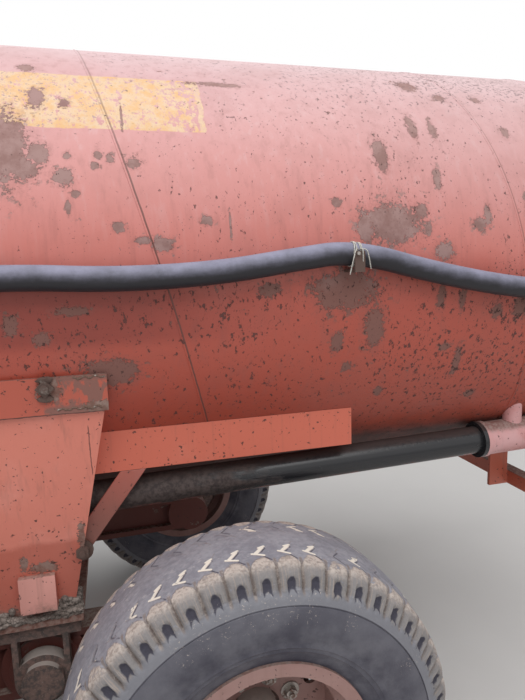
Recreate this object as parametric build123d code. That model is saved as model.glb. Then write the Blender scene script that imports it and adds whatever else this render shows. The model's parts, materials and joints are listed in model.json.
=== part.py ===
from build123d import *
import os
from math import asin, cos, degrees, pi, radians, sin, sqrt

# Slurry tanker trailer with a tandem balancer bogie, in millimetres.
# While it is being built, X is measured rearwards from the bogie's pivot, Y to the right and Z up from the ground.
# Each piece is moved at the end, so that the origin lies on the ground at the middle of the trailer's length.
# A piece with a _left and a _right node is built once on the left side, at negative Y, and mirrored.

# Fits and clearances
WELD_SEAT = 0.3
RUNNING_FIT = 0.3
PIPE_CLEARANCE = 12.0
PIPE_TO_BRACE = 6.6
PIPE_TO_TANK = 2.0
BRAKE_CLEARANCE = 6.0

# Wheels and tyres
WHEEL_RADIUS = 535.0
WHEELBASE = 1192.0
TRACK = 1838.0
TYRE_WIDTH = 366.0
TREAD_WIDTH = 266.0
TREAD_CROWN = 12.0
SHOULDER_HEIGHT = 62.0
LUG_COUNT = 48
LUG_GAP = 25.0
LUG_LENGTH = 52.0
BEAD_RADIUS = 251.0
RIM_WIDTH = 300.0
RIM_FLANGE_HEIGHT = 26.0
RIM_FLANGE_WIDTH = 10.0
RIM_WALL = 9.0
RIM_WELL_DEPTH = 29.0
RIM_SEAT_WIDTH = 50.0
RIM_WELL_SETBACK = 70.0
DISC_THICKNESS = 12.0
DISC_OFFSET = 20.0
HAND_HOLE_COUNT = 8
HAND_HOLE_RADIUS = 22.0
HAND_HOLE_CIRCLE = 182.0
HUB_RADIUS = 75.0
HUB_FLANGE_RADIUS = 150.0
HUB_FLANGE_THICKNESS = 16.0
HUB_CAP_RADIUS = 55.0
HUB_CAP_FACE_RADIUS = 44.0
HUB_CAP_LENGTH = 33.0
HUB_CAP_SIDE_LENGTH = 20.0
DRUM_RADIUS = 176.0
DRUM_WALL = 12.0
DRUM_WIDTH = 102.0
AXLE_RADIUS = 35.0
AXLE_ROOT_RADIUS = 46.0
AXLE_FLANGE_RADIUS = 76.0
AXLE_FLANGE_THICKNESS = 20.0
AXLE_END_PLAY = 5.0
BRAKE_PLATE_THICKNESS = 8.0
CAMSHAFT_REACH = 110.0
CAMSHAFT_RADIUS = 14.0
CAMSHAFT_LENGTH = 120.0
CAM_LEVER_LENGTH = 130.0
CAM_LEVER_WIDTH = 34.0
CAM_LEVER_END_WIDTH = 24.0
CAM_LEVER_THICKNESS = 12.0
CAM_BRACKET_SETBACK = 45.0

# Balance beams, pivot blocks and the shaft through them
BEAM_CENTRE_Y = 500.0
BEAM_WIDTH = 100.0
BEAM_DEPTH = 205.0
BEAM_END_DEPTH = 150.0
BEAM_MIDDLE_LENGTH = 340.0
BEAM_POCKET_DEPTH = 30.0
BEAM_RIM_THICKNESS = 26.0
BEAM_BOSS_RADIUS = 105.0
BEAM_BOSS_WIDTH = 130.0
BEAM_EYE_RADIUS = 88.0
AXLE_DROP = 25.0
SHAFT_RADIUS = 42.0
SHAFT_COLLAR_RADIUS = 62.0
SHAFT_COLLAR_LENGTH = 20.0
CHEEK_THICKNESS = 45.0
CHEEK_GAP = 10.0
PIVOT_HUB_RADIUS = 82.0
PIVOT_LEG_WIDTH = 18.0
PIVOT_FLANGE_THICKNESS = 48.0
PIVOT_WINDOW_MARGIN = 12.0
PIVOT_FLANGE_HALF_LENGTH = 120.0
BASE_PLATE_TOP = 770.0
BASE_PLATE_THICKNESS = 25.0
BASE_PLATE_HALF_LENGTH = 132.0
BASE_PLATE_INNER_Y = 200.0
BASE_PLATE_OVERHANG = 15.0

# Tank
TANK_RADIUS = 780.0
TANK_AXIS_Z = 1768.0
SHELL_FRONT_X = -2850.0
SHELL_REAR_X = 1870.0
HEAD_FLANGE = 40.0
HEAD_CROWN_RADIUS = 1800.0
HEAD_KNUCKLE_RADIUS = 140.0
MANHOLE_X = -1300.0
MANHOLE_RADIUS = 250.0
MANHOLE_WALL = 8.0
MANHOLE_HEIGHT = 110.0
MANHOLE_RIM_RADIUS = 285.0
MANHOLE_RIM_THICKNESS = 14.0
LID_THICKNESS = 12.0
LID_DISH_RADIUS = 225.0
LID_DISH_TOP_RADIUS = 180.0
LID_DISH_HEIGHT = 30.0
LID_HINGE_REACH = 322.0
LID_HINGE_RISE = 20.0
LID_PIN_RADIUS = 9.0
LID_KNUCKLE_RADIUS = 19.0
LID_KNUCKLE_LENGTH = 90.0
LID_EAR_GAP = 6.0
LID_KNUCKLE_LIFT = 2.0
LID_EAR_THICKNESS = 12.0
LID_GRIP_RADIUS = 9.0
LID_GRIP_HALF_LENGTH = 70.0
LID_GRIP_HEIGHT = 40.0

# Side rails, saddles and braces
RAIL_TOP_Z = 1326.0
RAIL_HEIGHT = 126.0
RAIL_THICKNESS = 10.0
RAIL_SETBACK = 100.0
RAIL_REAR_X = 1012.0
STRIP_TOP_Z = 1517.0
STRIP_HEIGHT = 100.0
STRIP_HALF_LENGTH = 251.0
STRIP_THICKNESS = 14.0
SADDLE_TOP_HALF_LENGTH = 240.0
SADDLE_FOOT_HALF_LENGTH = 105.0
SADDLE_FOOT_Y = 625.0
SADDLE_INNER_Y = 520.0
SADDLE_PLATE = 12.0
PATCH_X = 15.0
PATCH_HALF_LENGTH = 50.0
PATCH_HEIGHT = 110.0
PATCH_RISE = 42.0
PATCH_DEPTH = 47.0
BRACE_WIDTH = 60.0
BRACE_LIP = 25.0
BRACE_THICKNESS = 7.0
BRACE_REACH = 345.0
BRACE_FOOT_Z = 935.0
CROSS_SADDLE_HALF_LENGTH = 100.0
CROSS_SADDLE_HALF_WIDTH = 400.0

# Drawbar, front cradles, towing eye and parking jack
DRAWBAR_BEAM_Y = 300.0
DRAWBAR_BEAM_WIDTH = 100.0
DRAWBAR_TO_TANK = 30.0
DRAWBAR_BEAM_HEIGHT = 160.0
DRAWBAR_LAP = 1400.0
DRAWBAR_BEND_REACH = 50.0
DRAWBAR_NOSE_REACH = 1300.0
DRAWBAR_NOSE_Y = 90.0
DRAWBAR_NOSE_TOP_Z = 590.0
DRAWBAR_NOSE_HEIGHT = 140.0
DRAWBAR_HEAD_LENGTH = 110.0
CROSSMEMBER_WIDTH = 80.0
CROSSMEMBER_HEIGHT = 120.0
CROSSMEMBER_DROP = 20.0
CROSSMEMBER_SETBACKS = (1350.0, 250.0)
CRADLE_SETBACKS = (1200.0, 250.0)
CRADLE_HALF_LENGTH = 60.0
CRADLE_HALF_WIDTH = 420.0
EYE_RADIUS = 75.0
EYE_BORE_RADIUS = 25.0
EYE_THICKNESS = 40.0
EYE_REACH = 170.0
EYE_SHANK_RADIUS = 35.0
EYE_SHANK_OVERLAP = 35.0
JACK_SETBACK = 300.0
JACK_Y = -275.0
JACK_TUBE_RADIUS = 42.0
JACK_LEG_RADIUS = 32.0
JACK_FOOT_RADIUS = 110.0
JACK_FOOT_THICKNESS = 14.0
JACK_TUBE_BOTTOM_Z = 330.0
JACK_TUBE_TOP_Z = 980.0
JACK_BRACKET_HALF_LENGTH = 60.0
JACK_BRACKET_Z = 600.0
JACK_CRANK_LENGTH = 160.0
JACK_CRANK_RADIUS = 9.0
JACK_CRANK_RISE = 20.0
JACK_SPINDLE_RADIUS = 14.0
JACK_SPINDLE_RISE = 34.0
JACK_GRIP_RADIUS = 11.0
JACK_GRIP_LENGTH = 90.0

# Pump, its deck and the pipes
PUMP_REACH = 610.0
PUMP_AXIS_Z = 1148.0
VOLUTE_RADIUS = 200.0
VOLUTE_WIDTH = 120.0
PUMP_FOOT_HALF_WIDTH = 120.0
PUMP_FOOT_THICKNESS = 22.0
PUMP_FOOT_SETBACK = 30.0
PUMP_CHEEK_SETBACK = 20.0
PUMP_WEB_THICKNESS = 30.0
BEARING_RADIUS = 75.0
BEARING_LENGTH = 180.0
VOLUTE_COVER_RADIUS = 150.0
VOLUTE_COVER_THICKNESS = 14.0
VOLUTE_RIM_RADIUS = 212.0
VOLUTE_RIM_WIDTH = 24.0
PUMP_RIB_COUNT = 6
PUMP_RIB_RADIUS = 135.0
PUMP_RIB_LENGTH = 95.0
PUMP_RIB_THICKNESS = 10.0
OIL_CUP_RADIUS = 22.0
OIL_CUP_HEIGHT = 60.0
OIL_CAP_RADIUS = 28.0
OIL_CAP_HEIGHT = 12.0
PTO_RADIUS = 17.5
JOURNAL_RADIUS = 24.0
JOURNAL_LENGTH = 126.0
PTO_STUB_LENGTH = 85.0
DECK_THICKNESS = 10.0
DECK_HALF_LENGTH = 150.0
DECK_HALF_WIDTH = 290.0
DECK_TOP_Z = 918.0
PIPE_RADIUS = 50.0
PIPE_FRONT_Z = 1008.0
PIPE_REAR_X = 1560.0
PIPE_FLANGE_RADIUS = 66.0
PIPE_FLANGE_THICKNESS = 16.0
PIPE_BEND_RADIUS = 150.0
PUMP_OUTLET_Y = -275.0
SUCTION_PIPE_RADIUS = 57.0
SUCTION_FLANGE_RADIUS = 81.0
MANIFOLD_RADIUS = 61.0
MANIFOLD_REACH = 350.0
MANIFOLD_BEND_RADIUS = 150.0
STUB_X = 1702.0
STUB_RADIUS = 34.0
OUTLET_RADIUS = 80.0
VALVE_LENGTH = 90.0
VALVE_FLANGE_RADIUS = 95.0
VALVE_FLANGE_THICKNESS = 16.0
VALVE_BODY_RADIUS = 76.0
VALVE_NECK_RADIUS = 52.0
VALVE_NECK_LENGTH = 12.0
VALVE_BONNET_LENGTH = 44.0
VALVE_BONNET_HALF_WIDTH = 82.0
VALVE_BONNET_HEIGHT = 130.0
VALVE_YOKE_Y = 52.0
VALVE_YOKE_RADIUS = 9.0
VALVE_YOKE_HEIGHT = 80.0
VALVE_HEAD_THICKNESS = 16.0
VALVE_STEM_RADIUS = 12.0
VALVE_WHEEL_RADIUS = 68.0
VALVE_WHEEL_WIDTH = 14.0
VALVE_WHEEL_THICKNESS = 14.0
VALVE_WHEEL_SPOKES = 3
VALVE_SPOKE_RADIUS = 6.0
VALVE_WHEEL_HUB_RADIUS = 20.0
VALVE_WHEEL_HUB_HEIGHT = 18.0
VALVE_WHEEL_RISE = 250.0
NOZZLE_LENGTH = 170.0
NOZZLE_MOUTH_WIDTH = 220.0
NOZZLE_MOUTH_HEIGHT = 50.0
NOZZLE_WALL = 6.0

# Ladder, level gauge and lamps
FITTING_STANDOFF = 100.0
LADDER_Y = 350.0
LADDER_WIDTH = 340.0
LADDER_BOTTOM_Z = 1018.0
LADDER_TOP_Z = 2438.0
LADDER_STILE = 30.0
LADDER_RUNG_RADIUS = 12.0
LADDER_RUNG_COUNT = 5
LADDER_BRACKET_ZS = (1268.0, 2238.0)
GAUGE_Y = -380.0
GAUGE_RADIUS = 16.0
GAUGE_TAP_RADIUS = 20.0
GAUGE_TAP_REACH = 24.0
GAUGE_ZS = (1318.0, 2218.0)
LAMP_BAR_X = 1900.0
LAMP_BAR_Z = 848.0
LAMP_BAR_SIZE = 60.0
LAMP_BAR_HALF_WIDTH = 820.0
LAMP_HANGER_Y = 300.0
LAMP_HANGER_THICKNESS = 16.0
LAMP_HANGER_LAP = 60.0
LAMP_HANGER_TOP_Z = 1144.0
LAMP_Y = 700.0
LAMP_WIDTH = 170.0
LAMP_HEIGHT = 100.0
LAMP_DEPTH = 55.0
LAMP_CORNER_RADIUS = 14.0
LAMP_LENS_OFFSET = 28.0
LAMP_LENS_GAP = 4.0
LAMP_LENS_DEPTH = 6.0
REFLECTOR_Y = 480.0
REFLECTOR_SIDE = 150.0
REFLECTOR_CORNER = 12.0
REFLECTOR_THICKNESS = 8.0

# Suction hose and what it lies on
HOSE_RADIUS = 32.5
HOSE_TO_TANK = 2.5
HOSE_BEND_SHARE = 0.45
HOOK_XS = (-2250.0, -1150.0, 945.0, 1800.0)
HOOK_WIDTH = 30.0
HOOK_THICKNESS = 8.0
HOOK_LIP_HEIGHT = 50.0
COUPLING_RADIUS = 48.0
COUPLING_LENGTH = 120.0
COUPLING_WAIST_RADIUS = 41.0
COUPLING_COLLARS = ((26.0, 40.0), (82.0, 120.0))

# Worked out from the sizes above
PIVOT_Z = WHEEL_RADIUS + AXLE_DROP
RIM_FLANGE_RADIUS = BEAD_RADIUS + RIM_FLANGE_HEIGHT
RIM_HALF_WIDTH = RIM_WIDTH / 2 + RIM_FLANGE_WIDTH
DISC_INNER_FACE = -DISC_OFFSET - DISC_THICKNESS
HUB_FLANGE_BACK = DISC_INNER_FACE - HUB_FLANGE_THICKNESS
DRUM_END = HUB_FLANGE_BACK - DRUM_WIDTH
BRAKE_PLATE_FACE = DRUM_END - BRAKE_CLEARANCE
AXLE_ROOT = BEAM_CENTRE_Y + BEAM_WIDTH / 2 - TRACK / 2
BASE_PLATE_UNDERSIDE = BASE_PLATE_TOP - BASE_PLATE_THICKNESS
RAIL_BOTTOM_Z = RAIL_TOP_Z - RAIL_HEIGHT
STRIP_BOTTOM_Z = STRIP_TOP_Z - STRIP_HEIGHT
HEAD_DEPTH = HEAD_CROWN_RADIUS - sqrt(
    (HEAD_CROWN_RADIUS - HEAD_KNUCKLE_RADIUS) ** 2 - (TANK_RADIUS - HEAD_KNUCKLE_RADIUS) ** 2
)
TANK_FRONT_X = SHELL_FRONT_X - HEAD_FLANGE - HEAD_DEPTH
TANK_REAR_X = SHELL_REAR_X + HEAD_FLANGE + HEAD_DEPTH
RAIL_FRONT_X = SHELL_FRONT_X + RAIL_SETBACK
DRAWBAR_BEAM_TOP_Z = TANK_AXIS_Z - TANK_RADIUS - DRAWBAR_TO_TANK
DRAWBAR_REAR_X = SHELL_FRONT_X + DRAWBAR_LAP
DRAWBAR_BEND_X = SHELL_FRONT_X - DRAWBAR_BEND_REACH
DRAWBAR_NOSE_X = SHELL_FRONT_X - DRAWBAR_NOSE_REACH
JACK_X = DRAWBAR_NOSE_X + JACK_SETBACK
PUMP_X = SHELL_FRONT_X - PUMP_REACH
EYE_X = DRAWBAR_NOSE_X - DRAWBAR_HEAD_LENGTH - EYE_REACH
MANIFOLD_X = SHELL_REAR_X + MANIFOLD_REACH
NOZZLE_X = MANIFOLD_X + MANIFOLD_RADIUS + VALVE_LENGTH
TRAILER_FRONT_X = EYE_X - EYE_RADIUS
TRAILER_REAR_X = NOZZLE_X + NOZZLE_LENGTH
ORIGIN_X = (TRAILER_FRONT_X + TRAILER_REAR_X) / 2


def tank_half_width(z):
    """Half the tank's width at the height z."""
    return sqrt(TANK_RADIUS**2 - (z - TANK_AXIS_Z) ** 2)


def block(x_range, y_range, z_range):
    """A box between pairs of limits."""
    size = [high - low for low, high in (x_range, y_range, z_range)]
    middle = [(high + low) / 2 for low, high in (x_range, y_range, z_range)]
    return Pos(*middle) * Box(*size)


def rod(radius, start, end):
    """A round bar from one point to another."""
    axis = Vector(*end) - Vector(*start)
    return extrude(Plane(Vector(*start), z_dir=axis) * Circle(radius), axis.length)


def turned(profile, x, outboard_y=-TRACK / 2):
    """A left wheel's turned piece: the profile's points are (distance outboard of the wheel's middle, radius)."""
    solid = revolve(make_face(Polyline(*profile, close=True)), Axis.X)
    return Pos(x, outboard_y, WHEEL_RADIUS) * Rot(0, 0, -90) * solid


def right_hand(shape):
    """The right-hand copy of a left-hand piece."""
    return mirror(shape, about=Plane.XZ)


def save(node, *shapes):
    """Write the node, moved to the trailer's own origin."""
    moved = [Pos(-ORIGIN_X, 0, 0) * shape for shape in shapes]
    export_step(moved[0] if len(moved) == 1 else Compound(children=moved), f"parts/{node}.step")


os.makedirs("parts", exist_ok=True)


# Tank
def tank_cylinder(extra=0.0):
    """The tank's shell, or with extra the space that pieces welded to it stay out of."""
    return rod(TANK_RADIUS + extra, (SHELL_FRONT_X, 0, TANK_AXIS_Z), (SHELL_REAR_X, 0, TANK_AXIS_Z))


def dished_head(joint_x, outwards, extra=0.0):
    """A dished head with a straight flange, a knuckle and a crown; outwards is 1 at the rear and -1 at the front."""
    knuckle_y = TANK_RADIUS - HEAD_KNUCKLE_RADIUS
    crown_x = HEAD_FLANGE + HEAD_DEPTH - HEAD_CROWN_RADIUS
    lean = asin(knuckle_y / (HEAD_CROWN_RADIUS - HEAD_KNUCKLE_RADIUS))
    knuckle_lean = (lean + pi / 2) / 2
    knuckle_r = HEAD_KNUCKLE_RADIUS + extra
    crown_r = HEAD_CROWN_RADIUS + extra
    tangent = (crown_x + crown_r * cos(lean), crown_r * sin(lean))
    crown_middle = (crown_x + crown_r * cos(lean / 2), crown_r * sin(lean / 2))
    knuckle_middle = (HEAD_FLANGE + knuckle_r * cos(knuckle_lean), knuckle_y + knuckle_r * sin(knuckle_lean))
    rim = TANK_RADIUS + extra
    apex = crown_x + crown_r
    outline = (
        Polyline((apex, 0), (0, 0), (0, rim), (HEAD_FLANGE, rim))
        + ThreePointArc((HEAD_FLANGE, rim), knuckle_middle, tangent)
        + ThreePointArc(tangent, crown_middle, (apex, 0))
    )
    head = revolve(make_face(outline), Axis.X)
    if outwards < 0:
        head = mirror(head, about=Plane.YZ)
    return Pos(joint_x, 0, TANK_AXIS_Z) * head


tank_shell = tank_cylinder()
front_head = dished_head(SHELL_FRONT_X, -1)
rear_head = dished_head(SHELL_REAR_X, 1)
tank_space = tank_cylinder(WELD_SEAT)
front_head_space = dished_head(SHELL_FRONT_X, -1, WELD_SEAT)
rear_head_space = dished_head(SHELL_REAR_X, 1, WELD_SEAT)

# Manhole neck, with the hinge's ears and pin at its rear
neck_top_z = TANK_AXIS_Z + TANK_RADIUS + MANHOLE_HEIGHT
hinge_x = MANHOLE_X + LID_HINGE_REACH
hinge_z = neck_top_z + LID_HINGE_RISE
ear_inner_y = LID_KNUCKLE_LENGTH / 2 + LID_EAR_GAP
ear_outer_y = ear_inner_y + LID_EAR_THICKNESS
neck_bottom_z = TANK_AXIS_Z + sqrt(TANK_RADIUS**2 - MANHOLE_RADIUS**2) - MANHOLE_WALL
manhole_neck = rod(MANHOLE_RADIUS, (MANHOLE_X, 0, neck_bottom_z), (MANHOLE_X, 0, neck_top_z))
manhole_neck += rod(
    MANHOLE_RIM_RADIUS, (MANHOLE_X, 0, neck_top_z - MANHOLE_RIM_THICKNESS), (MANHOLE_X, 0, neck_top_z)
)
manhole_neck += rod(LID_PIN_RADIUS, (hinge_x, -ear_outer_y, hinge_z), (hinge_x, ear_outer_y, hinge_z))
for side in (-1, 1):
    ear_ys = sorted((side * ear_inner_y, side * ear_outer_y))
    ear_foot_x = MANHOLE_X + MANHOLE_RADIUS
    manhole_neck += block(
        (ear_foot_x, hinge_x + LID_KNUCKLE_RADIUS), ear_ys, (neck_top_z - MANHOLE_HEIGHT / 2, neck_top_z)
    )
    manhole_neck += rod(LID_KNUCKLE_RADIUS, (hinge_x, ear_ys[0], hinge_z), (hinge_x, ear_ys[1], hinge_z))
    manhole_neck += block(
        (hinge_x - LID_KNUCKLE_RADIUS, hinge_x + LID_KNUCKLE_RADIUS), ear_ys, (neck_top_z - 1, hinge_z)
    )
manhole_neck -= rod(MANHOLE_RADIUS - MANHOLE_WALL, (MANHOLE_X, 0, neck_bottom_z - 1), (MANHOLE_X, 0, neck_top_z + 1))
manhole_neck -= tank_space

# Manhole lid, a dished plate with its knuckle round the hinge's pin and a grip on top
lid_bottom_z = neck_top_z + WELD_SEAT
lid_top_z = lid_bottom_z + LID_THICKNESS
manhole_lid = rod(MANHOLE_RIM_RADIUS, (MANHOLE_X, 0, lid_bottom_z), (MANHOLE_X, 0, lid_top_z))
manhole_lid += Pos(MANHOLE_X, 0, lid_top_z + LID_DISH_HEIGHT / 2) * Cone(
    LID_DISH_RADIUS, LID_DISH_TOP_RADIUS, LID_DISH_HEIGHT
)
knuckle_y = LID_KNUCKLE_LENGTH / 2
manhole_lid += block(
    (MANHOLE_X + LID_DISH_RADIUS, hinge_x),
    (-knuckle_y, knuckle_y),
    (lid_bottom_z + LID_KNUCKLE_LIFT, hinge_z + LID_KNUCKLE_RADIUS / 2),
)
manhole_lid += rod(LID_KNUCKLE_RADIUS, (hinge_x, -knuckle_y, hinge_z), (hinge_x, knuckle_y, hinge_z))
manhole_lid -= rod(LID_PIN_RADIUS + RUNNING_FIT, (hinge_x, -knuckle_y - 1, hinge_z), (hinge_x, knuckle_y + 1, hinge_z))
grip_z = lid_top_z + LID_DISH_HEIGHT + LID_GRIP_HEIGHT
for side in (-1, 1):
    leg_y = side * LID_GRIP_HALF_LENGTH
    manhole_lid += rod(LID_GRIP_RADIUS, (MANHOLE_X, leg_y, lid_top_z), (MANHOLE_X, leg_y, grip_z))
grip_end_y = LID_GRIP_HALF_LENGTH + LID_GRIP_RADIUS
manhole_lid += rod(LID_GRIP_RADIUS, (MANHOLE_X, -grip_end_y, grip_z), (MANHOLE_X, grip_end_y, grip_z))

# Side rail: an angle welded along the tank's flank by both its edges
rail_y = tank_half_width(RAIL_TOP_Z)
rail_inner_y = tank_half_width(RAIL_BOTTOM_Z)
side_rail = block(
    (RAIL_FRONT_X, RAIL_REAR_X), (-rail_y - WELD_SEAT, RAIL_THICKNESS - rail_y), (RAIL_BOTTOM_Z, RAIL_TOP_Z)
)
side_rail += block(
    (RAIL_FRONT_X, RAIL_REAR_X),
    (-rail_y - WELD_SEAT, -rail_inner_y),
    (RAIL_BOTTOM_Z, RAIL_BOTTOM_Z + RAIL_THICKNESS),
)
side_rail -= tank_space


# Saddle over the bogie's pivot: an outer plate that leans in to its foot, two gussets, a strip and a base plate
def pylon(inset, inner_y):
    """The tapering space inside the saddle's outer faces, or with an inset inside its plates."""
    foot = Plane.XY.offset(BASE_PLATE_TOP) * Pos(0, -(SADDLE_FOOT_Y - inset + inner_y) / 2) * Rectangle(
        2 * (SADDLE_FOOT_HALF_LENGTH - inset), SADDLE_FOOT_Y - inset - inner_y
    )
    crown = Plane.XY.offset(STRIP_BOTTOM_Z) * Pos(0, -(strip_y - inset + inner_y) / 2) * Rectangle(
        2 * (SADDLE_TOP_HALF_LENGTH - inset), strip_y - inset - inner_y
    )
    upper = block(
        (inset - SADDLE_TOP_HALF_LENGTH, SADDLE_TOP_HALF_LENGTH - inset),
        (inset - strip_y, -inner_y),
        (STRIP_BOTTOM_Z, STRIP_TOP_Z),
    )
    return loft([foot, crown], ruled=True) + upper


strip_y = tank_half_width(STRIP_TOP_Z) + WELD_SEAT
patch_bottom_z = BASE_PLATE_TOP + PATCH_RISE
pylon_space = pylon(0, SADDLE_INNER_Y)
saddle = pylon_space - pylon(SADDLE_PLATE, SADDLE_INNER_Y - SADDLE_PLATE)
saddle += block(
    (-STRIP_HALF_LENGTH, STRIP_HALF_LENGTH), (-strip_y - STRIP_THICKNESS, -strip_y), (STRIP_BOTTOM_Z, STRIP_TOP_Z)
)
saddle += block(
    (PATCH_X - PATCH_HALF_LENGTH, PATCH_X + PATCH_HALF_LENGTH),
    (-SADDLE_FOOT_Y - PATCH_DEPTH, -SADDLE_FOOT_Y + SADDLE_PLATE / 2),
    (patch_bottom_z, patch_bottom_z + PATCH_HEIGHT),
)
saddle += block(
    (-BASE_PLATE_HALF_LENGTH, BASE_PLATE_HALF_LENGTH),
    (-SADDLE_FOOT_Y - BASE_PLATE_OVERHANG, -BASE_PLATE_INNER_Y),
    (BASE_PLATE_UNDERSIDE, BASE_PLATE_TOP),
)
saddle -= tank_space
saddle -= block(
    (-STRIP_HALF_LENGTH, STRIP_HALF_LENGTH),
    (-rail_y - 2 * WELD_SEAT, 0),
    (RAIL_BOTTOM_Z - WELD_SEAT, STRIP_BOTTOM_Z),
)
pipe_y = PIPE_RADIUS + PIPE_TO_BRACE + BRACE_LIP - rail_y
pipe_rear_z = TANK_AXIS_Z - sqrt((TANK_RADIUS + PIPE_TO_TANK + PIPE_FLANGE_RADIUS) ** 2 - pipe_y**2)
pipe_start = (PUMP_X, pipe_y, PIPE_FRONT_Z)
pipe_end = (PIPE_REAR_X, pipe_y, pipe_rear_z)
saddle -= rod(PIPE_RADIUS + PIPE_CLEARANCE, pipe_start, pipe_end)

# Braces: an angle on each side of the saddle, from the rail's underside down to the gusset
saddle_taper = (SADDLE_TOP_HALF_LENGTH - SADDLE_FOOT_HALF_LENGTH) / (STRIP_BOTTOM_Z - BASE_PLATE_TOP)
brace_foot_x = SADDLE_FOOT_HALF_LENGTH + (BRACE_FOOT_Z - BASE_PLATE_TOP) * saddle_taper
brace_run = Vector(BRACE_REACH - brace_foot_x, 0, RAIL_BOTTOM_Z - BRACE_FOOT_Z)
brace_plane = Plane(
    Vector(brace_foot_x, -rail_y, BRACE_FOOT_Z) - brace_run * 0.5, x_dir=(0, 1, 0), z_dir=brace_run
)
brace_section = Rectangle(BRACE_LIP, BRACE_THICKNESS, align=(Align.MIN, Align.MIN)) + Rectangle(
    BRACE_THICKNESS, BRACE_WIDTH, align=(Align.MIN, Align.MIN)
)
rear_brace = extrude(brace_plane * brace_section, brace_run.length * 2)
rear_brace -= pylon_space
rear_brace -= block((-BRACE_REACH, 3 * BRACE_REACH), (-2 * rail_y, 0), (RAIL_BOTTOM_Z, STRIP_TOP_Z))
rear_brace -= block((-BRACE_REACH, brace_foot_x - WELD_SEAT), (-2 * rail_y, 0), (0, STRIP_TOP_Z))
rear_brace = rear_brace.solids().sort_by(Axis.X)[-1]
braces = [rear_brace, mirror(rear_brace, about=Plane.YZ)]


# Cradles: boxes across the trailer whose top is cut to the tank's curve
def cradle(middle_x, half_length, half_width, bottom_z):
    """A cross box open to the tank above and at its ends."""
    top_z = TANK_AXIS_Z - sqrt(TANK_RADIUS**2 - half_width**2) + SADDLE_PLATE
    outer = block((middle_x - half_length, middle_x + half_length), (-half_width, half_width), (bottom_z, top_z))
    inner = block(
        (middle_x - half_length + SADDLE_PLATE, middle_x + half_length - SADDLE_PLATE),
        (-half_width - 1, half_width + 1),
        (bottom_z + SADDLE_PLATE, top_z + 1),
    )
    return outer - inner - tank_space


cross_saddle = cradle(0, CROSS_SADDLE_HALF_LENGTH, CROSS_SADDLE_HALF_WIDTH, BASE_PLATE_TOP)
front_cradles = [
    cradle(SHELL_FRONT_X + setback, CRADLE_HALF_LENGTH, CRADLE_HALF_WIDTH, DRAWBAR_BEAM_TOP_Z)
    for setback in CRADLE_SETBACKS
]

# Pivot block: a top flange and two cheeks, each a hub hung on two legs
beam_half_boss = BEAM_BOSS_WIDTH / 2
cheek_inner = beam_half_boss + CHEEK_GAP
cheek_outer = cheek_inner + CHEEK_THICKNESS
flange_bottom_z = BASE_PLATE_UNDERSIDE - PIVOT_FLANGE_THICKNESS
cheek_face = Pos(0, PIVOT_Z) * Circle(PIVOT_HUB_RADIUS) + Pos(
    0, (PIVOT_Z + flange_bottom_z) / 2
) * Rectangle(2 * PIVOT_HUB_RADIUS, flange_bottom_z - PIVOT_Z)
window = Pos(0, (PIVOT_Z + flange_bottom_z) / 2 + PIVOT_WINDOW_MARGIN) * Rectangle(
    2 * (PIVOT_HUB_RADIUS - PIVOT_LEG_WIDTH), flange_bottom_z - PIVOT_Z - 2 * PIVOT_WINDOW_MARGIN
) - Pos(0, PIVOT_Z) * Circle(PIVOT_HUB_RADIUS)
cheek_face = cheek_face - window - Pos(0, PIVOT_Z) * Circle(SHAFT_RADIUS + WELD_SEAT)
pivot_block = block(
    (-PIVOT_FLANGE_HALF_LENGTH, PIVOT_FLANGE_HALF_LENGTH),
    (-BEAM_CENTRE_Y - cheek_outer, -BEAM_CENTRE_Y + cheek_outer),
    (flange_bottom_z, BASE_PLATE_UNDERSIDE),
)
for cheek_y in (-BEAM_CENTRE_Y - cheek_inner, -BEAM_CENTRE_Y + cheek_outer):
    pivot_block += extrude(Plane.XZ.offset(-cheek_y) * cheek_face, CHEEK_THICKNESS)

# Balance beam: a casting with eyes for the stub axles, a boss round the shaft and a pocket on each face
beam_half_outline = (
    (BEAM_MIDDLE_LENGTH / 2, -BEAM_DEPTH / 2),
    (WHEELBASE / 2, -BEAM_END_DEPTH / 2 - AXLE_DROP),
    (WHEELBASE / 2, BEAM_END_DEPTH / 2 - AXLE_DROP),
    (BEAM_MIDDLE_LENGTH / 2, BEAM_DEPTH / 2),
)
beam_outline = [*beam_half_outline, *[(-x, z) for x, z in reversed(beam_half_outline)]]
beam_body = make_face(Polyline(*beam_outline, close=True))
beam_eyes = [Pos(x, -AXLE_DROP) * Circle(BEAM_EYE_RADIUS) for x in (-WHEELBASE / 2, WHEELBASE / 2)]
beam_boss = Circle(BEAM_BOSS_RADIUS)
beam_pocket = offset(beam_body, -BEAM_RIM_THICKNESS, kind=Kind.INTERSECTION) - offset(
    beam_boss, BEAM_RIM_THICKNESS
)
for eye in beam_eyes:
    beam_pocket -= offset(eye, BEAM_RIM_THICKNESS)
beam_plane = Plane.XZ.offset(BEAM_CENTRE_Y) * Pos(0, PIVOT_Z)
balance_beam = extrude(beam_plane * (beam_body + beam_eyes), BEAM_WIDTH / 2, both=True)
balance_beam += extrude(beam_plane * beam_boss, BEAM_BOSS_WIDTH / 2, both=True)
for face_y in (BEAM_CENTRE_Y + BEAM_WIDTH / 2, BEAM_CENTRE_Y - BEAM_WIDTH / 2 + BEAM_POCKET_DEPTH):
    balance_beam -= extrude(
        Plane.XZ.offset(face_y) * Pos(0, PIVOT_Z) * beam_pocket, -BEAM_POCKET_DEPTH
    )
balance_beam -= rod(SHAFT_RADIUS + RUNNING_FIT, (0, -2 * BEAM_CENTRE_Y, PIVOT_Z), (0, 0, PIVOT_Z))

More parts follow.
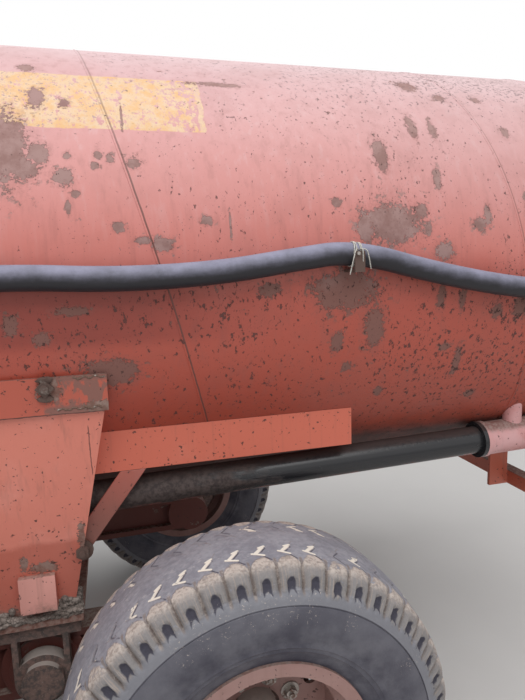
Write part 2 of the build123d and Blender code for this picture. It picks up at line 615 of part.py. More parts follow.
# Shaft through both pivot blocks, with a collar outside each
shaft_end_y = BEAM_CENTRE_Y + cheek_outer
bogie_shaft = rod(SHAFT_RADIUS, (0, -shaft_end_y, PIVOT_Z), (0, shaft_end_y, PIVOT_Z))
for side in (-1, 1):
    bogie_shaft += rod(
        SHAFT_COLLAR_RADIUS,
        (0, side * shaft_end_y, PIVOT_Z),
        (0, side * (shaft_end_y + SHAFT_COLLAR_LENGTH), PIVOT_Z),
    )

# Stub axle with its brake plate, from the balance beam's face outboard into the hub
hub_end = HUB_RADIUS - DISC_OFFSET
axle_tip = hub_end - AXLE_END_PLAY
hub_inner_end = BRAKE_PLATE_FACE + 3 * BRAKE_CLEARANCE
AXLE_PROFILE = (
    (axle_tip, 0),
    (axle_tip, AXLE_RADIUS),
    (hub_inner_end - BRAKE_CLEARANCE, AXLE_RADIUS),
    (hub_inner_end - BRAKE_CLEARANCE, AXLE_ROOT_RADIUS),
    (BRAKE_PLATE_FACE, AXLE_ROOT_RADIUS),
    (BRAKE_PLATE_FACE, DRUM_RADIUS),
    (BRAKE_PLATE_FACE - BRAKE_PLATE_THICKNESS, DRUM_RADIUS),
    (BRAKE_PLATE_FACE - BRAKE_PLATE_THICKNESS, AXLE_ROOT_RADIUS),
    (AXLE_ROOT + AXLE_FLANGE_THICKNESS, AXLE_ROOT_RADIUS),
    (AXLE_ROOT + AXLE_FLANGE_THICKNESS, AXLE_FLANGE_RADIUS),
    (AXLE_ROOT, AXLE_FLANGE_RADIUS),
    (AXLE_ROOT, 0),
)


def stub_axle(x, inwards):
    """A left stub axle with its brake plate, and the brake's camshaft on the side towards the bogie's pivot."""
    cam_x = x + inwards * CAMSHAFT_REACH
    plate_y = -TRACK / 2 - BRAKE_PLATE_FACE + BRAKE_PLATE_THICKNESS
    end_y = plate_y + CAMSHAFT_LENGTH
    bracket_y = end_y - CAM_BRACKET_SETBACK
    axle = turned(AXLE_PROFILE, x)
    axle += rod(
        CAMSHAFT_RADIUS, (cam_x, plate_y - BRAKE_PLATE_THICKNESS / 2, WHEEL_RADIUS), (cam_x, end_y, WHEEL_RADIUS)
    )
    axle += block(
        sorted((x, cam_x)),
        (bracket_y - CAM_LEVER_THICKNESS, bracket_y),
        (WHEEL_RADIUS - CAM_LEVER_WIDTH / 2, WHEEL_RADIUS + CAM_LEVER_WIDTH / 2),
    )
    lever_face = make_hull(
        [
            *Circle(CAM_LEVER_WIDTH / 2).edges(),
            *(Pos(0, CAM_LEVER_LENGTH) * Circle(CAM_LEVER_END_WIDTH / 2)).edges(),
        ]
    )
    lever_plane = Plane.XZ.offset(-end_y) * Pos(cam_x, WHEEL_RADIUS)
    return axle + extrude(lever_plane * lever_face, CAM_LEVER_THICKNESS)


# Hub cast in one with its brake drum, closed by a cap outboard
HUB_PROFILE = (
    (hub_end, 0),
    (hub_end + HUB_CAP_LENGTH, 0),
    (hub_end + HUB_CAP_LENGTH, HUB_CAP_FACE_RADIUS),
    (hub_end + HUB_CAP_SIDE_LENGTH, HUB_CAP_RADIUS),
    (hub_end, HUB_CAP_RADIUS),
    (hub_end, HUB_RADIUS - WELD_SEAT),
    (DISC_INNER_FACE, HUB_RADIUS - WELD_SEAT),
    (DISC_INNER_FACE, HUB_FLANGE_RADIUS),
    (HUB_FLANGE_BACK, HUB_FLANGE_RADIUS),
    (HUB_FLANGE_BACK, DRUM_RADIUS),
    (DRUM_END, DRUM_RADIUS),
    (DRUM_END, DRUM_RADIUS - DRUM_WALL),
    (HUB_FLANGE_BACK - DRUM_WALL, DRUM_RADIUS - DRUM_WALL),
    (HUB_FLANGE_BACK - DRUM_WALL, HUB_RADIUS - DRUM_WALL),
    (hub_inner_end, HUB_RADIUS - DRUM_WALL),
    (hub_inner_end, AXLE_RADIUS + RUNNING_FIT),
    (hub_end, AXLE_RADIUS + RUNNING_FIT),
)

# Rim: flanges, bead seats and a well, with the disc between the well's walls
well_radius = BEAD_RADIUS - RIM_WELL_DEPTH
well_half_width = RIM_WIDTH / 2 - RIM_WELL_SETBACK
seat_half_width = RIM_WIDTH / 2 - RIM_SEAT_WIDTH
RIM_PROFILE = (
    (-RIM_HALF_WIDTH, RIM_FLANGE_RADIUS),
    (-RIM_WIDTH / 2, RIM_FLANGE_RADIUS),
    (-RIM_WIDTH / 2, BEAD_RADIUS),
    (-seat_half_width, BEAD_RADIUS),
    (-well_half_width, well_radius),
    (well_half_width, well_radius),
    (seat_half_width, BEAD_RADIUS),
    (RIM_WIDTH / 2, BEAD_RADIUS),
    (RIM_WIDTH / 2, RIM_FLANGE_RADIUS),
    (RIM_HALF_WIDTH, RIM_FLANGE_RADIUS),
    (RIM_HALF_WIDTH, BEAD_RADIUS - RIM_WALL),
    (seat_half_width + RIM_WALL / 2, BEAD_RADIUS - RIM_WALL),
    (well_half_width + RIM_WALL / 2, well_radius - RIM_WALL),
    (-DISC_OFFSET, well_radius - RIM_WALL),
    (-DISC_OFFSET, HUB_RADIUS),
    (DISC_INNER_FACE, HUB_RADIUS),
    (DISC_INNER_FACE, well_radius - RIM_WALL),
    (-well_half_width - RIM_WALL / 2, well_radius - RIM_WALL),
    (-seat_half_width - RIM_WALL / 2, BEAD_RADIUS - RIM_WALL),
    (-RIM_HALF_WIDTH, BEAD_RADIUS - RIM_WALL),
)


def make_rim(x):
    """A left wheel's rim, with round hand holes through its disc."""
    rim = turned(RIM_PROFILE, x)
    for index in range(HAND_HOLE_COUNT):
        turn = 2 * pi * (index + 0.5) / HAND_HOLE_COUNT
        hole_x = x + HAND_HOLE_CIRCLE * sin(turn)
        hole_z = WHEEL_RADIUS + HAND_HOLE_CIRCLE * cos(turn)
        rim -= rod(
            HAND_HOLE_RADIUS,
            (hole_x, -TRACK / 2, hole_z),
            (hole_x, -TRACK / 2 + DISC_OFFSET + 2 * DISC_THICKNESS, hole_z),
        )
    return rim


def ring_point(x, radius, turn):
    """A point of the tyre, turn degrees round its own axis along X."""
    return (x, radius * sin(radians(turn)), radius * cos(radians(turn)))


def flat_face(*corners):
    """A flat face with these corners."""
    return make_face(Polyline(*corners, close=True))


def ring_face(first, second, start, end):
    """The flat face between two rings, each (distance along X, radius), from one turn to another."""
    corners = ((*first, start), (*first, end), (*second, end), (*second, start))
    return flat_face(*[ring_point(*corner) for corner in corners])


def make_tyre():
    """A tyre with flat faces one lug long, whose shoulders have a gap between each two lugs."""
    shoulder_radius = WHEEL_RADIUS - TREAD_CROWN
    bead_x = RIM_WIDTH / 2 - RUNNING_FIT
    lug_turn = 360 / LUG_COUNT
    gap_turn = degrees(LUG_GAP / 2 / shoulder_radius)
    seat_radius = (BEAD_RADIUS + RUNNING_FIT) / cos(radians(lug_turn / 2))
    # Rings of the side, from the seat out to the top of the wall: distance from the tyre's middle, radius
    rings = (
        (bead_x, seat_radius),
        (bead_x, RIM_FLANGE_RADIUS + RUNNING_FIT),
        (TYRE_WIDTH / 2, (shoulder_radius + RIM_FLANGE_RADIUS) / 2),
        (TYRE_WIDTH / 2 - TREAD_CROWN, shoulder_radius - SHOULDER_HEIGHT),
    )
    crown_x = TREAD_WIDTH / 2 - LUG_LENGTH
    faces = []
    for index in range(LUG_COUNT):
        start, end = index * lug_turn, (index + 1) * lug_turn
        for x, radius in ((crown_x, WHEEL_RADIUS), rings[0]):
            faces.append(ring_face((-x, radius), (x, radius), start, end))
        for side in (-1, 1):
            side_rings = [(side * x, radius) for x, radius in rings]
            for inner, outer in zip(side_rings, side_rings[1:]):
                faces.append(ring_face(inner, outer, start, end))
            wall_x, wall_radius = rings[-1]
            crown = [ring_point(side * crown_x, WHEEL_RADIUS, turn) for turn in (start, end)]
            wall = [ring_point(side * wall_x, wall_radius, turn) for turn in (start, end)]
            lug = [
                ring_point(side * TREAD_WIDTH / 2, shoulder_radius, turn)
                for turn in (start + gap_turn, end - gap_turn)
            ]
            faces.append(flat_face(crown[0], crown[1], lug[1], lug[0]))
            faces.append(flat_face(lug[0], lug[1], wall[1], wall[0]))
            faces.append(flat_face(crown[0], lug[0], wall[0]))
            faces.append(flat_face(crown[1], lug[1], wall[1]))
    return Solid(Shell(faces))


tyre = make_tyre()
print("tyre valid:", tyre.is_valid, "volume m3:", round(tyre.volume / 1e9, 4), "faces:", len(tyre.faces()))

# Drawbar: two beams under the tank's front that close in and drop to the towing head
nose_bottom_z = DRAWBAR_NOSE_TOP_Z - DRAWBAR_NOSE_HEIGHT
beam_bottom_z = DRAWBAR_BEAM_TOP_Z - DRAWBAR_BEAM_HEIGHT
head_front_x = DRAWBAR_NOSE_X - DRAWBAR_HEAD_LENGTH


def drawbar_section(x, y, width, top_z, bottom_z):
    """An upright rectangle across the drawbar."""
    return Plane(origin=(x, y, (top_z + bottom_z) / 2), x_dir=(0, 1, 0), z_dir=(1, 0, 0)) * Rectangle(
        width, top_z - bottom_z
    )


left_beam = block(
    (DRAWBAR_BEND_X, DRAWBAR_REAR_X),
    (-DRAWBAR_BEAM_Y - DRAWBAR_BEAM_WIDTH / 2, -DRAWBAR_BEAM_Y + DRAWBAR_BEAM_WIDTH / 2),
    (beam_bottom_z, DRAWBAR_BEAM_TOP_Z),
)
left_beam += loft(
    [
        drawbar_section(
            DRAWBAR_NOSE_X, -DRAWBAR_NOSE_Y, DRAWBAR_BEAM_WIDTH, DRAWBAR_NOSE_TOP_Z, nose_bottom_z
        ),
        drawbar_section(
            DRAWBAR_BEND_X, -DRAWBAR_BEAM_Y, DRAWBAR_BEAM_WIDTH, DRAWBAR_BEAM_TOP_Z, beam_bottom_z
        ),
    ],
    ruled=True,
)
head_half_width = DRAWBAR_NOSE_Y + DRAWBAR_BEAM_WIDTH / 2
drawbar_frame = left_beam + right_hand(left_beam)
drawbar_frame += block(
    (head_front_x, DRAWBAR_NOSE_X), (-head_half_width, head_half_width), (nose_bottom_z, DRAWBAR_NOSE_TOP_Z)
)
crossmember_top_z = DRAWBAR_BEAM_TOP_Z - CROSSMEMBER_DROP
for setback in CROSSMEMBER_SETBACKS:
    member_x = SHELL_FRONT_X + setback
    drawbar_frame += block(
        (member_x - CROSSMEMBER_WIDTH / 2, member_x + CROSSMEMBER_WIDTH / 2),
        (-DRAWBAR_BEAM_Y, DRAWBAR_BEAM_Y),
        (crossmember_top_z - CROSSMEMBER_HEIGHT, crossmember_top_z),
    )

# Towing eye on a round shank
eye_z = (DRAWBAR_NOSE_TOP_Z + nose_bottom_z) / 2
tow_eye = rod(EYE_RADIUS, (EYE_X, 0, eye_z - EYE_THICKNESS / 2), (EYE_X, 0, eye_z + EYE_THICKNESS / 2))
tow_eye += rod(EYE_SHANK_RADIUS, (EYE_X + EYE_RADIUS - EYE_SHANK_OVERLAP, 0, eye_z), (head_front_x, 0, eye_z))
tow_eye -= rod(EYE_BORE_RADIUS, (EYE_X, 0, eye_z - EYE_THICKNESS), (EYE_X, 0, eye_z + EYE_THICKNESS))

# Parking jack: a tube with a screw leg, a foot plate, a crank and a bracket on the left beam
parking_jack = rod(JACK_TUBE_RADIUS, (JACK_X, JACK_Y, JACK_TUBE_BOTTOM_Z), (JACK_X, JACK_Y, JACK_TUBE_TOP_Z))
parking_jack += rod(JACK_LEG_RADIUS, (JACK_X, JACK_Y, 0), (JACK_X, JACK_Y, JACK_TUBE_BOTTOM_Z))
parking_jack += rod(JACK_FOOT_RADIUS, (JACK_X, JACK_Y, 0), (JACK_X, JACK_Y, JACK_FOOT_THICKNESS))
crank_z = JACK_TUBE_TOP_Z + JACK_CRANK_RISE
crank_end_y = JACK_Y - JACK_CRANK_LENGTH
parking_jack += rod(JACK_CRANK_RADIUS, (JACK_X, JACK_Y, crank_z), (JACK_X, crank_end_y, crank_z))
parking_jack += rod(
    JACK_SPINDLE_RADIUS, (JACK_X, JACK_Y, JACK_TUBE_TOP_Z), (JACK_X, JACK_Y, JACK_TUBE_TOP_Z + JACK_SPINDLE_RISE)
)
parking_jack += rod(
    JACK_GRIP_RADIUS,
    (JACK_X, crank_end_y, crank_z - JACK_CRANK_RADIUS),
    (JACK_X, crank_end_y, crank_z + JACK_GRIP_LENGTH),
)
parking_jack += (
    block(
        (JACK_X - JACK_BRACKET_HALF_LENGTH, JACK_X + JACK_BRACKET_HALF_LENGTH),
        (JACK_Y, -DRAWBAR_NOSE_Y),
        (JACK_BRACKET_Z - JACK_BRACKET_HALF_LENGTH, JACK_BRACKET_Z + JACK_BRACKET_HALF_LENGTH / 2),
    )
    - drawbar_frame
).solids().sort_by(Axis.Y)[0]

# Pump on a deck across the drawbar: volute and bearing housing with ribs, foot, outlet to the left and driven shaft
volute_front_x = PUMP_X - VOLUTE_WIDTH / 2
volute_rear_x = PUMP_X + VOLUTE_WIDTH / 2
bearing_front_x = volute_front_x - BEARING_LENGTH
pump_body = rod(VOLUTE_RADIUS, (volute_front_x, 0, PUMP_AXIS_Z), (volute_rear_x, 0, PUMP_AXIS_Z))
pump_body += rod(BEARING_RADIUS, (bearing_front_x, 0, PUMP_AXIS_Z), (volute_front_x, 0, PUMP_AXIS_Z))
cover_front_x = volute_front_x - VOLUTE_COVER_THICKNESS
pump_body += rod(VOLUTE_COVER_RADIUS, (cover_front_x, 0, PUMP_AXIS_Z), (volute_front_x, 0, PUMP_AXIS_Z))
pump_body += rod(
    VOLUTE_RIM_RADIUS,
    (PUMP_X - VOLUTE_RIM_WIDTH / 2, 0, PUMP_AXIS_Z),
    (PUMP_X + VOLUTE_RIM_WIDTH / 2, 0, PUMP_AXIS_Z),
)
rib_face = Plane.XZ * make_face(
    Polyline((0, 0), (0, PUMP_RIB_RADIUS), (-PUMP_RIB_LENGTH, BEARING_RADIUS), (-PUMP_RIB_LENGTH, 0), close=True)
)
rib = extrude(rib_face, PUMP_RIB_THICKNESS / 2, both=True)
for index in range(PUMP_RIB_COUNT):
    pump_body += Pos(volute_front_x, 0, PUMP_AXIS_Z) * Rot(360 / PUMP_RIB_COUNT * index, 0, 0) * rib
cup_x = bearing_front_x + PUMP_FOOT_SETBACK
cup_top_z = PUMP_AXIS_Z + BEARING_RADIUS + OIL_CUP_HEIGHT
pump_body += rod(OIL_CUP_RADIUS, (cup_x, 0, PUMP_AXIS_Z + BEARING_RADIUS / 2), (cup_x, 0, cup_top_z))
pump_body += rod(OIL_CAP_RADIUS, (cup_x, 0, cup_top_z), (cup_x, 0, cup_top_z + OIL_CAP_HEIGHT))
pump_body += block(
    (bearing_front_x + PUMP_FOOT_SETBACK, volute_rear_x),
    (-PUMP_FOOT_HALF_WIDTH, PUMP_FOOT_HALF_WIDTH),
    (DECK_TOP_Z, DECK_TOP_Z + PUMP_FOOT_THICKNESS),
)
pump_body += block(
    (bearing_front_x + 2 * PUMP_FOOT_SETBACK, volute_front_x + PUMP_CHEEK_SETBACK),
    (-PUMP_WEB_THICKNESS / 2, PUMP_WEB_THICKNESS / 2),
    (DECK_TOP_Z, PUMP_AXIS_Z),
)
pump_body += block(
    (volute_front_x + PUMP_CHEEK_SETBACK, volute_rear_x - PUMP_CHEEK_SETBACK),
    (-PUMP_FOOT_HALF_WIDTH, PUMP_FOOT_HALF_WIDTH),
    (DECK_TOP_Z, PUMP_AXIS_Z - VOLUTE_RADIUS / 2),
)
pump_body += rod(PIPE_RADIUS, (PUMP_X, PUMP_OUTLET_Y, PIPE_FRONT_Z), (PUMP_X, 0, PIPE_FRONT_Z))
pump_body += rod(
    PIPE_FLANGE_RADIUS,
    (PUMP_X, PUMP_OUTLET_Y, PIPE_FRONT_Z),
    (PUMP_X, PUMP_OUTLET_Y + PIPE_FLANGE_THICKNESS, PIPE_FRONT_Z),
)
shaft_inner_x = bearing_front_x + JOURNAL_LENGTH
pump_body -= rod(
    JOURNAL_RADIUS + RUNNING_FIT,
    (bearing_front_x - 1, 0, PUMP_AXIS_Z),
    (shaft_inner_x + AXLE_END_PLAY, 0, PUMP_AXIS_Z),
)
pump_shaft = rod(JOURNAL_RADIUS, (bearing_front_x, 0, PUMP_AXIS_Z), (shaft_inner_x, 0, PUMP_AXIS_Z))
pump_shaft += rod(PTO_RADIUS, (bearing_front_x - PTO_STUB_LENGTH, 0, PUMP_AXIS_Z), (bearing_front_x, 0, PUMP_AXIS_Z))
pump_deck = block(
    (PUMP_X - BEARING_LENGTH - VOLUTE_WIDTH / 2, PUMP_X + DECK_HALF_LENGTH - VOLUTE_WIDTH / 2),
    (-DECK_HALF_WIDTH, DECK_HALF_WIDTH),
    (DECK_TOP_Z - DECK_THICKNESS, DECK_TOP_Z),
)
for trestle_x in (PUMP_X - BEARING_LENGTH, PUMP_X):
    pump_deck += block(
        (trestle_x - DECK_THICKNESS / 2, trestle_x + DECK_THICKNESS / 2),
        (-DECK_HALF_WIDTH, DECK_HALF_WIDTH),
        (nose_bottom_z + DRAWBAR_NOSE_HEIGHT, DECK_TOP_Z - DECK_THICKNESS / 2),
    )
pump_deck = (pump_deck - drawbar_frame).solids().sort_by(Axis.Z)[-1]

# Pressure pipe, from the pump round a bend and back along the left flank to its rear flange
pipe_route = FilletPolyline(
    (PUMP_X, PUMP_OUTLET_Y, PIPE_FRONT_Z), pipe_start, pipe_end, radius=PIPE_BEND_RADIUS
)
pressure_pipe = sweep(Plane(pipe_route @ 0, z_dir=pipe_route % 0) * Circle(PIPE_RADIUS), path=pipe_route)
pipe_way = (Vector(*pipe_end) - Vector(*pipe_start)).normalized()
pressure_pipe += extrude(Plane(pipe_end, z_dir=-pipe_way) * Circle(PIPE_FLANGE_RADIUS), PIPE_FLANGE_THICKNESS)
pressure_pipe += rod(
    PIPE_FLANGE_RADIUS,
    (PUMP_X, PUMP_OUTLET_Y, PIPE_FRONT_Z),
    (PUMP_X, PUMP_OUTLET_Y - PIPE_FLANGE_THICKNESS, PIPE_FRONT_Z),
)

# Suction pipe from the front head to the pump's eye
suction_pipe = rod(SUCTION_PIPE_RADIUS, (volute_rear_x, 0, PUMP_AXIS_Z), (SHELL_FRONT_X, 0, PUMP_AXIS_Z))
suction_pipe += rod(
    SUCTION_FLANGE_RADIUS, (volute_rear_x, 0, PUMP_AXIS_Z), (volute_rear_x + PIPE_FLANGE_THICKNESS, 0, PUMP_AXIS_Z)
)
suction_pipe = (suction_pipe - front_head_space - tank_space).solids().sort_by(Axis.X)[0]

# Rear manifold: from the pipe's flange back past the tank and across to the middle, with a stub to the tank
manifold_z = pipe_rear_z + (MANIFOLD_X - PIPE_REAR_X) * pipe_way.Z / pipe_way.X
manifold_route = FilletPolyline(
    pipe_end, (MANIFOLD_X, pipe_y, manifold_z), (MANIFOLD_X, 0, manifold_z), radius=MANIFOLD_BEND_RADIUS
)
rear_manifold = sweep(
    Plane(manifold_route @ 0, z_dir=manifold_route % 0) * Circle(MANIFOLD_RADIUS), path=manifold_route
)
rear_manifold += extrude(Plane(pipe_end, z_dir=pipe_way) * Circle(PIPE_FLANGE_RADIUS), PIPE_FLANGE_THICKNESS)
stub_z = pipe_rear_z + (STUB_X - PIPE_REAR_X) * pipe_way.Z / pipe_way.X
rear_manifold += rod(STUB_RADIUS, (STUB_X, pipe_y, stub_z), (STUB_X, pipe_y, TANK_AXIS_Z)) - tank_space
rear_manifold += rod(OUTLET_RADIUS, (SHELL_REAR_X, 0, manifold_z), (MANIFOLD_X, 0, manifold_z))
rear_manifold = (rear_manifold - tank_space - rear_head_space).solids().sort_by(SortBy.VOLUME)[-1]

# Discharge valve with its yoke and hand wheel, and the flat nozzle
valve_x = NOZZLE_X - VALVE_LENGTH + VALVE_NECK_LENGTH
valve_middle_x = NOZZLE_X - VALVE_LENGTH / 2
bonnet_top_z = manifold_z + VALVE_BONNET_HEIGHT
yoke_top_z = bonnet_top_z + VALVE_YOKE_HEIGHT
valve_wheel_z = manifold_z + VALVE_WHEEL_RISE
discharge_valve = rod(VALVE_BODY_RADIUS, (valve_x, 0, manifold_z), (NOZZLE_X, 0, manifold_z))
for flange_x in (valve_x, NOZZLE_X - VALVE_FLANGE_THICKNESS):
    discharge_valve += rod(
        VALVE_FLANGE_RADIUS, (flange_x, 0, manifold_z), (flange_x + VALVE_FLANGE_THICKNESS, 0, manifold_z)
    )
neck = rod(VALVE_NECK_RADIUS, (MANIFOLD_X, 0, manifold_z), (valve_middle_x, 0, manifold_z)) - rear_manifold
discharge_valve += neck.solids().sort_by(Axis.X)[-1]
bonnet_xs = (valve_middle_x - VALVE_BONNET_LENGTH / 2, valve_middle_x + VALVE_BONNET_LENGTH / 2)
for bonnet_zs in ((manifold_z, bonnet_top_z), (yoke_top_z, yoke_top_z + VALVE_HEAD_THICKNESS)):
    discharge_valve += block(bonnet_xs, (-VALVE_BONNET_HALF_WIDTH, VALVE_BONNET_HALF_WIDTH), bonnet_zs)
for side in (-1, 1):
    yoke_y = side * VALVE_YOKE_Y
    discharge_valve += rod(
        VALVE_YOKE_RADIUS, (valve_middle_x, yoke_y, bonnet_top_z - 1), (valve_middle_x, yoke_y, yoke_top_z + 1)
    )
discharge_valve += rod(
    VALVE_STEM_RADIUS, (valve_middle_x, 0, bonnet_top_z - 1), (valve_middle_x, 0, valve_wheel_z)
)
wheel_ring_radius = VALVE_WHEEL_RADIUS - VALVE_WHEEL_WIDTH
hand_wheel = Cylinder(VALVE_WHEEL_RADIUS, VALVE_WHEEL_THICKNESS) - Cylinder(wheel_ring_radius, VALVE_WHEEL_THICKNESS)
hand_wheel += Cylinder(VALVE_WHEEL_HUB_RADIUS, VALVE_WHEEL_HUB_HEIGHT)
for index in range(VALVE_WHEEL_SPOKES):
    spoke_end = Vector(wheel_ring_radius + VALVE_WHEEL_WIDTH / 2, 0).rotate(Axis.Z, 360 / VALVE_WHEEL_SPOKES * index)
    hand_wheel += rod(VALVE_SPOKE_RADIUS, spoke_end * 0.2, spoke_end)
discharge_valve += Pos(valve_middle_x, 0, valve_wheel_z) * hand_wheel


def nozzle_solid(inset, x_start, x_end):
    """The nozzle's body, round at the valve and a flat slot at the mouth, or with an inset its hollow."""
    face = Plane(origin=(x_start, 0, manifold_z), x_dir=(0, 1, 0), z_dir=(1, 0, 0))
    mouth = Plane(origin=(x_end, 0, manifold_z), x_dir=(0, 1, 0), z_dir=(1, 0, 0))
    return loft(
        [
            face * Rectangle(2 * (MANIFOLD_RADIUS - inset), 2 * (MANIFOLD_RADIUS - inset)),
            mouth * Rectangle(NOZZLE_MOUTH_WIDTH - 2 * inset, NOZZLE_MOUTH_HEIGHT - 2 * inset),
        ],
        ruled=True,
    )


discharge_nozzle = nozzle_solid(0, NOZZLE_X, TRAILER_REAR_X) - nozzle_solid(NOZZLE_WALL, NOZZLE_X, TRAILER_REAR_X)
discharge_nozzle += rod(VALVE_FLANGE_RADIUS, (NOZZLE_X, 0, manifold_z), (NOZZLE_X + NOZZLE_WALL, 0, manifold_z))

# Ladder and level gauge, standing off the front head
fitting_x = TANK_FRONT_X - FITTING_STANDOFF
ladder_ys = (LADDER_Y - LADDER_WIDTH / 2, LADDER_Y + LADDER_WIDTH / 2)
ladder = block(
    (fitting_x - LADDER_STILE / 2, fitting_x + LADDER_STILE / 2),
    (ladder_ys[0] - LADDER_STILE / 2, ladder_ys[0] + LADDER_STILE / 2),
    (LADDER_BOTTOM_Z, LADDER_TOP_Z),
)
ladder += Pos(0, LADDER_WIDTH, 0) * ladder
rung_step = (LADDER_TOP_Z - LADDER_BOTTOM_Z) / LADDER_RUNG_COUNT
for index in range(LADDER_RUNG_COUNT):
    rung_z = LADDER_BOTTOM_Z + (index + 0.5) * rung_step
    ladder += rod(LADDER_RUNG_RADIUS, (fitting_x, ladder_ys[0], rung_z), (fitting_x, ladder_ys[1], rung_z))
for bracket_z in LADDER_BRACKET_ZS:
    for bracket_y in ladder_ys:
        bracket = rod(LADDER_RUNG_RADIUS, (fitting_x, bracket_y, bracket_z), (SHELL_FRONT_X, bracket_y, bracket_z))
        ladder += (bracket - front_head_space).solids().sort_by(Axis.X)[0]

level_gauge = rod(GAUGE_RADIUS, (fitting_x, GAUGE_Y, GAUGE_ZS[0]), (fitting_x, GAUGE_Y, GAUGE_ZS[1]))
for gauge_z in GAUGE_ZS:
    tap = rod(
        GAUGE_TAP_RADIUS, (fitting_x - GAUGE_TAP_REACH, GAUGE_Y, gauge_z), (SHELL_FRONT_X, GAUGE_Y, gauge_z)
    )
    level_gauge += (tap - front_head_space).solids().sort_by(Axis.X)[0]

# Lamp bar hung from the shell's rear, and the two lamps and two reflectors on it
lamp_bar_rear_x = LAMP_BAR_X + LAMP_BAR_SIZE
lamp_bar = block(
    (LAMP_BAR_X, lamp_bar_rear_x),
    (-LAMP_BAR_HALF_WIDTH, LAMP_BAR_HALF_WIDTH),
    (LAMP_BAR_Z - LAMP_BAR_SIZE / 2, LAMP_BAR_Z + LAMP_BAR_SIZE / 2),
)
for side in (-1, 1):
    hanger_y = side * LAMP_HANGER_Y
    hanger = block(
        (SHELL_REAR_X - LAMP_HANGER_LAP, LAMP_BAR_X),
        (hanger_y - LAMP_HANGER_THICKNESS / 2, hanger_y + LAMP_HANGER_THICKNESS / 2),
        (LAMP_BAR_Z - LAMP_BAR_SIZE / 2, LAMP_HANGER_TOP_Z),
    )
    lamp_bar += (hanger - tank_space - rear_head_space).solids().sort_by(Axis.Z)[0]


def rear_lamp(side):
    """A lamp with rounded corners whose lens is parted in three."""
    lamp = extrude(
        Plane(origin=(lamp_bar_rear_x, side * LAMP_Y, LAMP_BAR_Z), x_dir=(0, 1, 0), z_dir=(1, 0, 0))
        * RectangleRounded(LAMP_WIDTH, LAMP_HEIGHT, LAMP_CORNER_RADIUS),
        LAMP_DEPTH,
    )
    lens_x = lamp_bar_rear_x + LAMP_DEPTH
    for offset_y in (-LAMP_LENS_OFFSET, LAMP_LENS_OFFSET):
        gap_y = side * LAMP_Y + offset_y
        lamp -= block(
            (lens_x - LAMP_LENS_DEPTH, lens_x + 1),
            (gap_y - LAMP_LENS_GAP / 2, gap_y + LAMP_LENS_GAP / 2),
            (LAMP_BAR_Z - LAMP_HEIGHT, LAMP_BAR_Z + LAMP_HEIGHT),
        )
    return lamp


def reflector(side):
    """A triangular reflector with rounded corners on the lamp bar."""
    outline = fillet(Triangle(a=REFLECTOR_SIDE, b=REFLECTOR_SIDE, c=REFLECTOR_SIDE).vertices(), REFLECTOR_CORNER)
    place = Plane(origin=(lamp_bar_rear_x, side * REFLECTOR_Y, LAMP_BAR_Z), x_dir=(0, 1, 0), z_dir=(1, 0, 0))
    return extrude(place * outline, REFLECTOR_THICKNESS)


lamps = [make(side) for side in (-1, 1) for make in (rear_lamp, reflector)]

# Suction hose along the left flank: the points of its centre line from its front end to its rear end, each as the
# place along X, the distance further out than the hose's usual one and the height above the tank's axis
hose_y = -TANK_RADIUS - HOSE_TO_TANK - HOSE_RADIUS
HOSE_ROUTE = (
    (-2560, 19, -8),
    (-2250, 0, 12),
    (-1700, 1, -9),
    (-1150, 0, 20),
    (-560, 1, -2),
    (20, 0, 15),
    (290, 0, -2),
    (560, 0, 8),
    (760, 0, 36),
    (945, 0, 47),
    (1215, 0, -14),
    (1520, 0, -70),
    (1800, 0, -82),
    (2050, 0, -60),
)
hose_points = [(x, hose_y - further_out, TANK_AXIS_Z + rise) for x, further_out, rise in HOSE_ROUTE]


def hose_radii(points):
    """The radius of the bend at each inner point, as large as its two runs allow."""
    radii = []
    for before, here, after in zip(points, points[1:], points[2:]):
        run_in = Vector(*here) - Vector(*before)
        run_out = Vector(*after) - Vector(*here)
        half_turn = radians(run_in.get_angle(run_out)) / 2
        shorter = min(run_in.length, run_out.length)
        radii.append(HOSE_BEND_SHARE * shorter * cos(half_turn) / sin(half_turn))
    return radii


bend_radii = hose_radii(hose_points)
print("hose bend radii:", [round(radius) for radius in bend_radii])
hose_route = FilletPolyline(*hose_points, radius=bend_radii)
suction_hose = sweep(Plane(hose_route @ 0, z_dir=hose_route % 0) * Circle(HOSE_RADIUS), path=hose_route)
print("hose length:", round(hose_route.length), "section times length / volume:",
      round(pi * HOSE_RADIUS**2 * hose_route.length / suction_hose.volume, 5))


def coupling(end_point, way):
    """A coupling that runs on from the hose's end: a waist with two collars."""
    end_plane = Plane(end_point, z_dir=way)
    fitting = extrude(end_plane * Circle(COUPLING_WAIST_RADIUS), COUPLING_LENGTH)
    for start, end in COUPLING_COLLARS:
        fitting += extrude(end_plane.offset(start) * Circle(COUPLING_RADIUS), end - start)
    return fitting


couplings = [coupling(hose_route @ 0, -(hose_route % 0)), coupling(hose_route @ 1, hose_route % 1)]


# Hooks: flat bars bent out from the tank under the hose and up outside it
def hose_hook(x):
    """One hook, fitted under and outside the hose where it crosses x."""
    xs = (x - HOOK_WIDTH / 2, x + HOOK_WIDTH / 2)
    carried = suction_hose & block(xs, (-2 * TANK_RADIUS, 0), (TANK_AXIS_Z - TANK_RADIUS, TANK_AXIS_Z + TANK_RADIUS))
    seat = carried.bounding_box().min
    shelf_zs = (seat.Z - WELD_SEAT - HOOK_THICKNESS, seat.Z - WELD_SEAT)
    lip_ys = (seat.Y - WELD_SEAT - HOOK_THICKNESS, seat.Y - WELD_SEAT)
    hook = block(xs, (lip_ys[0], -TANK_RADIUS / 2), shelf_zs)
    hook += block(xs, lip_ys, (shelf_zs[0], shelf_zs[1] + HOOK_LIP_HEIGHT))
    return (hook - tank_space).solids().sort_by(Axis.Y)[0]


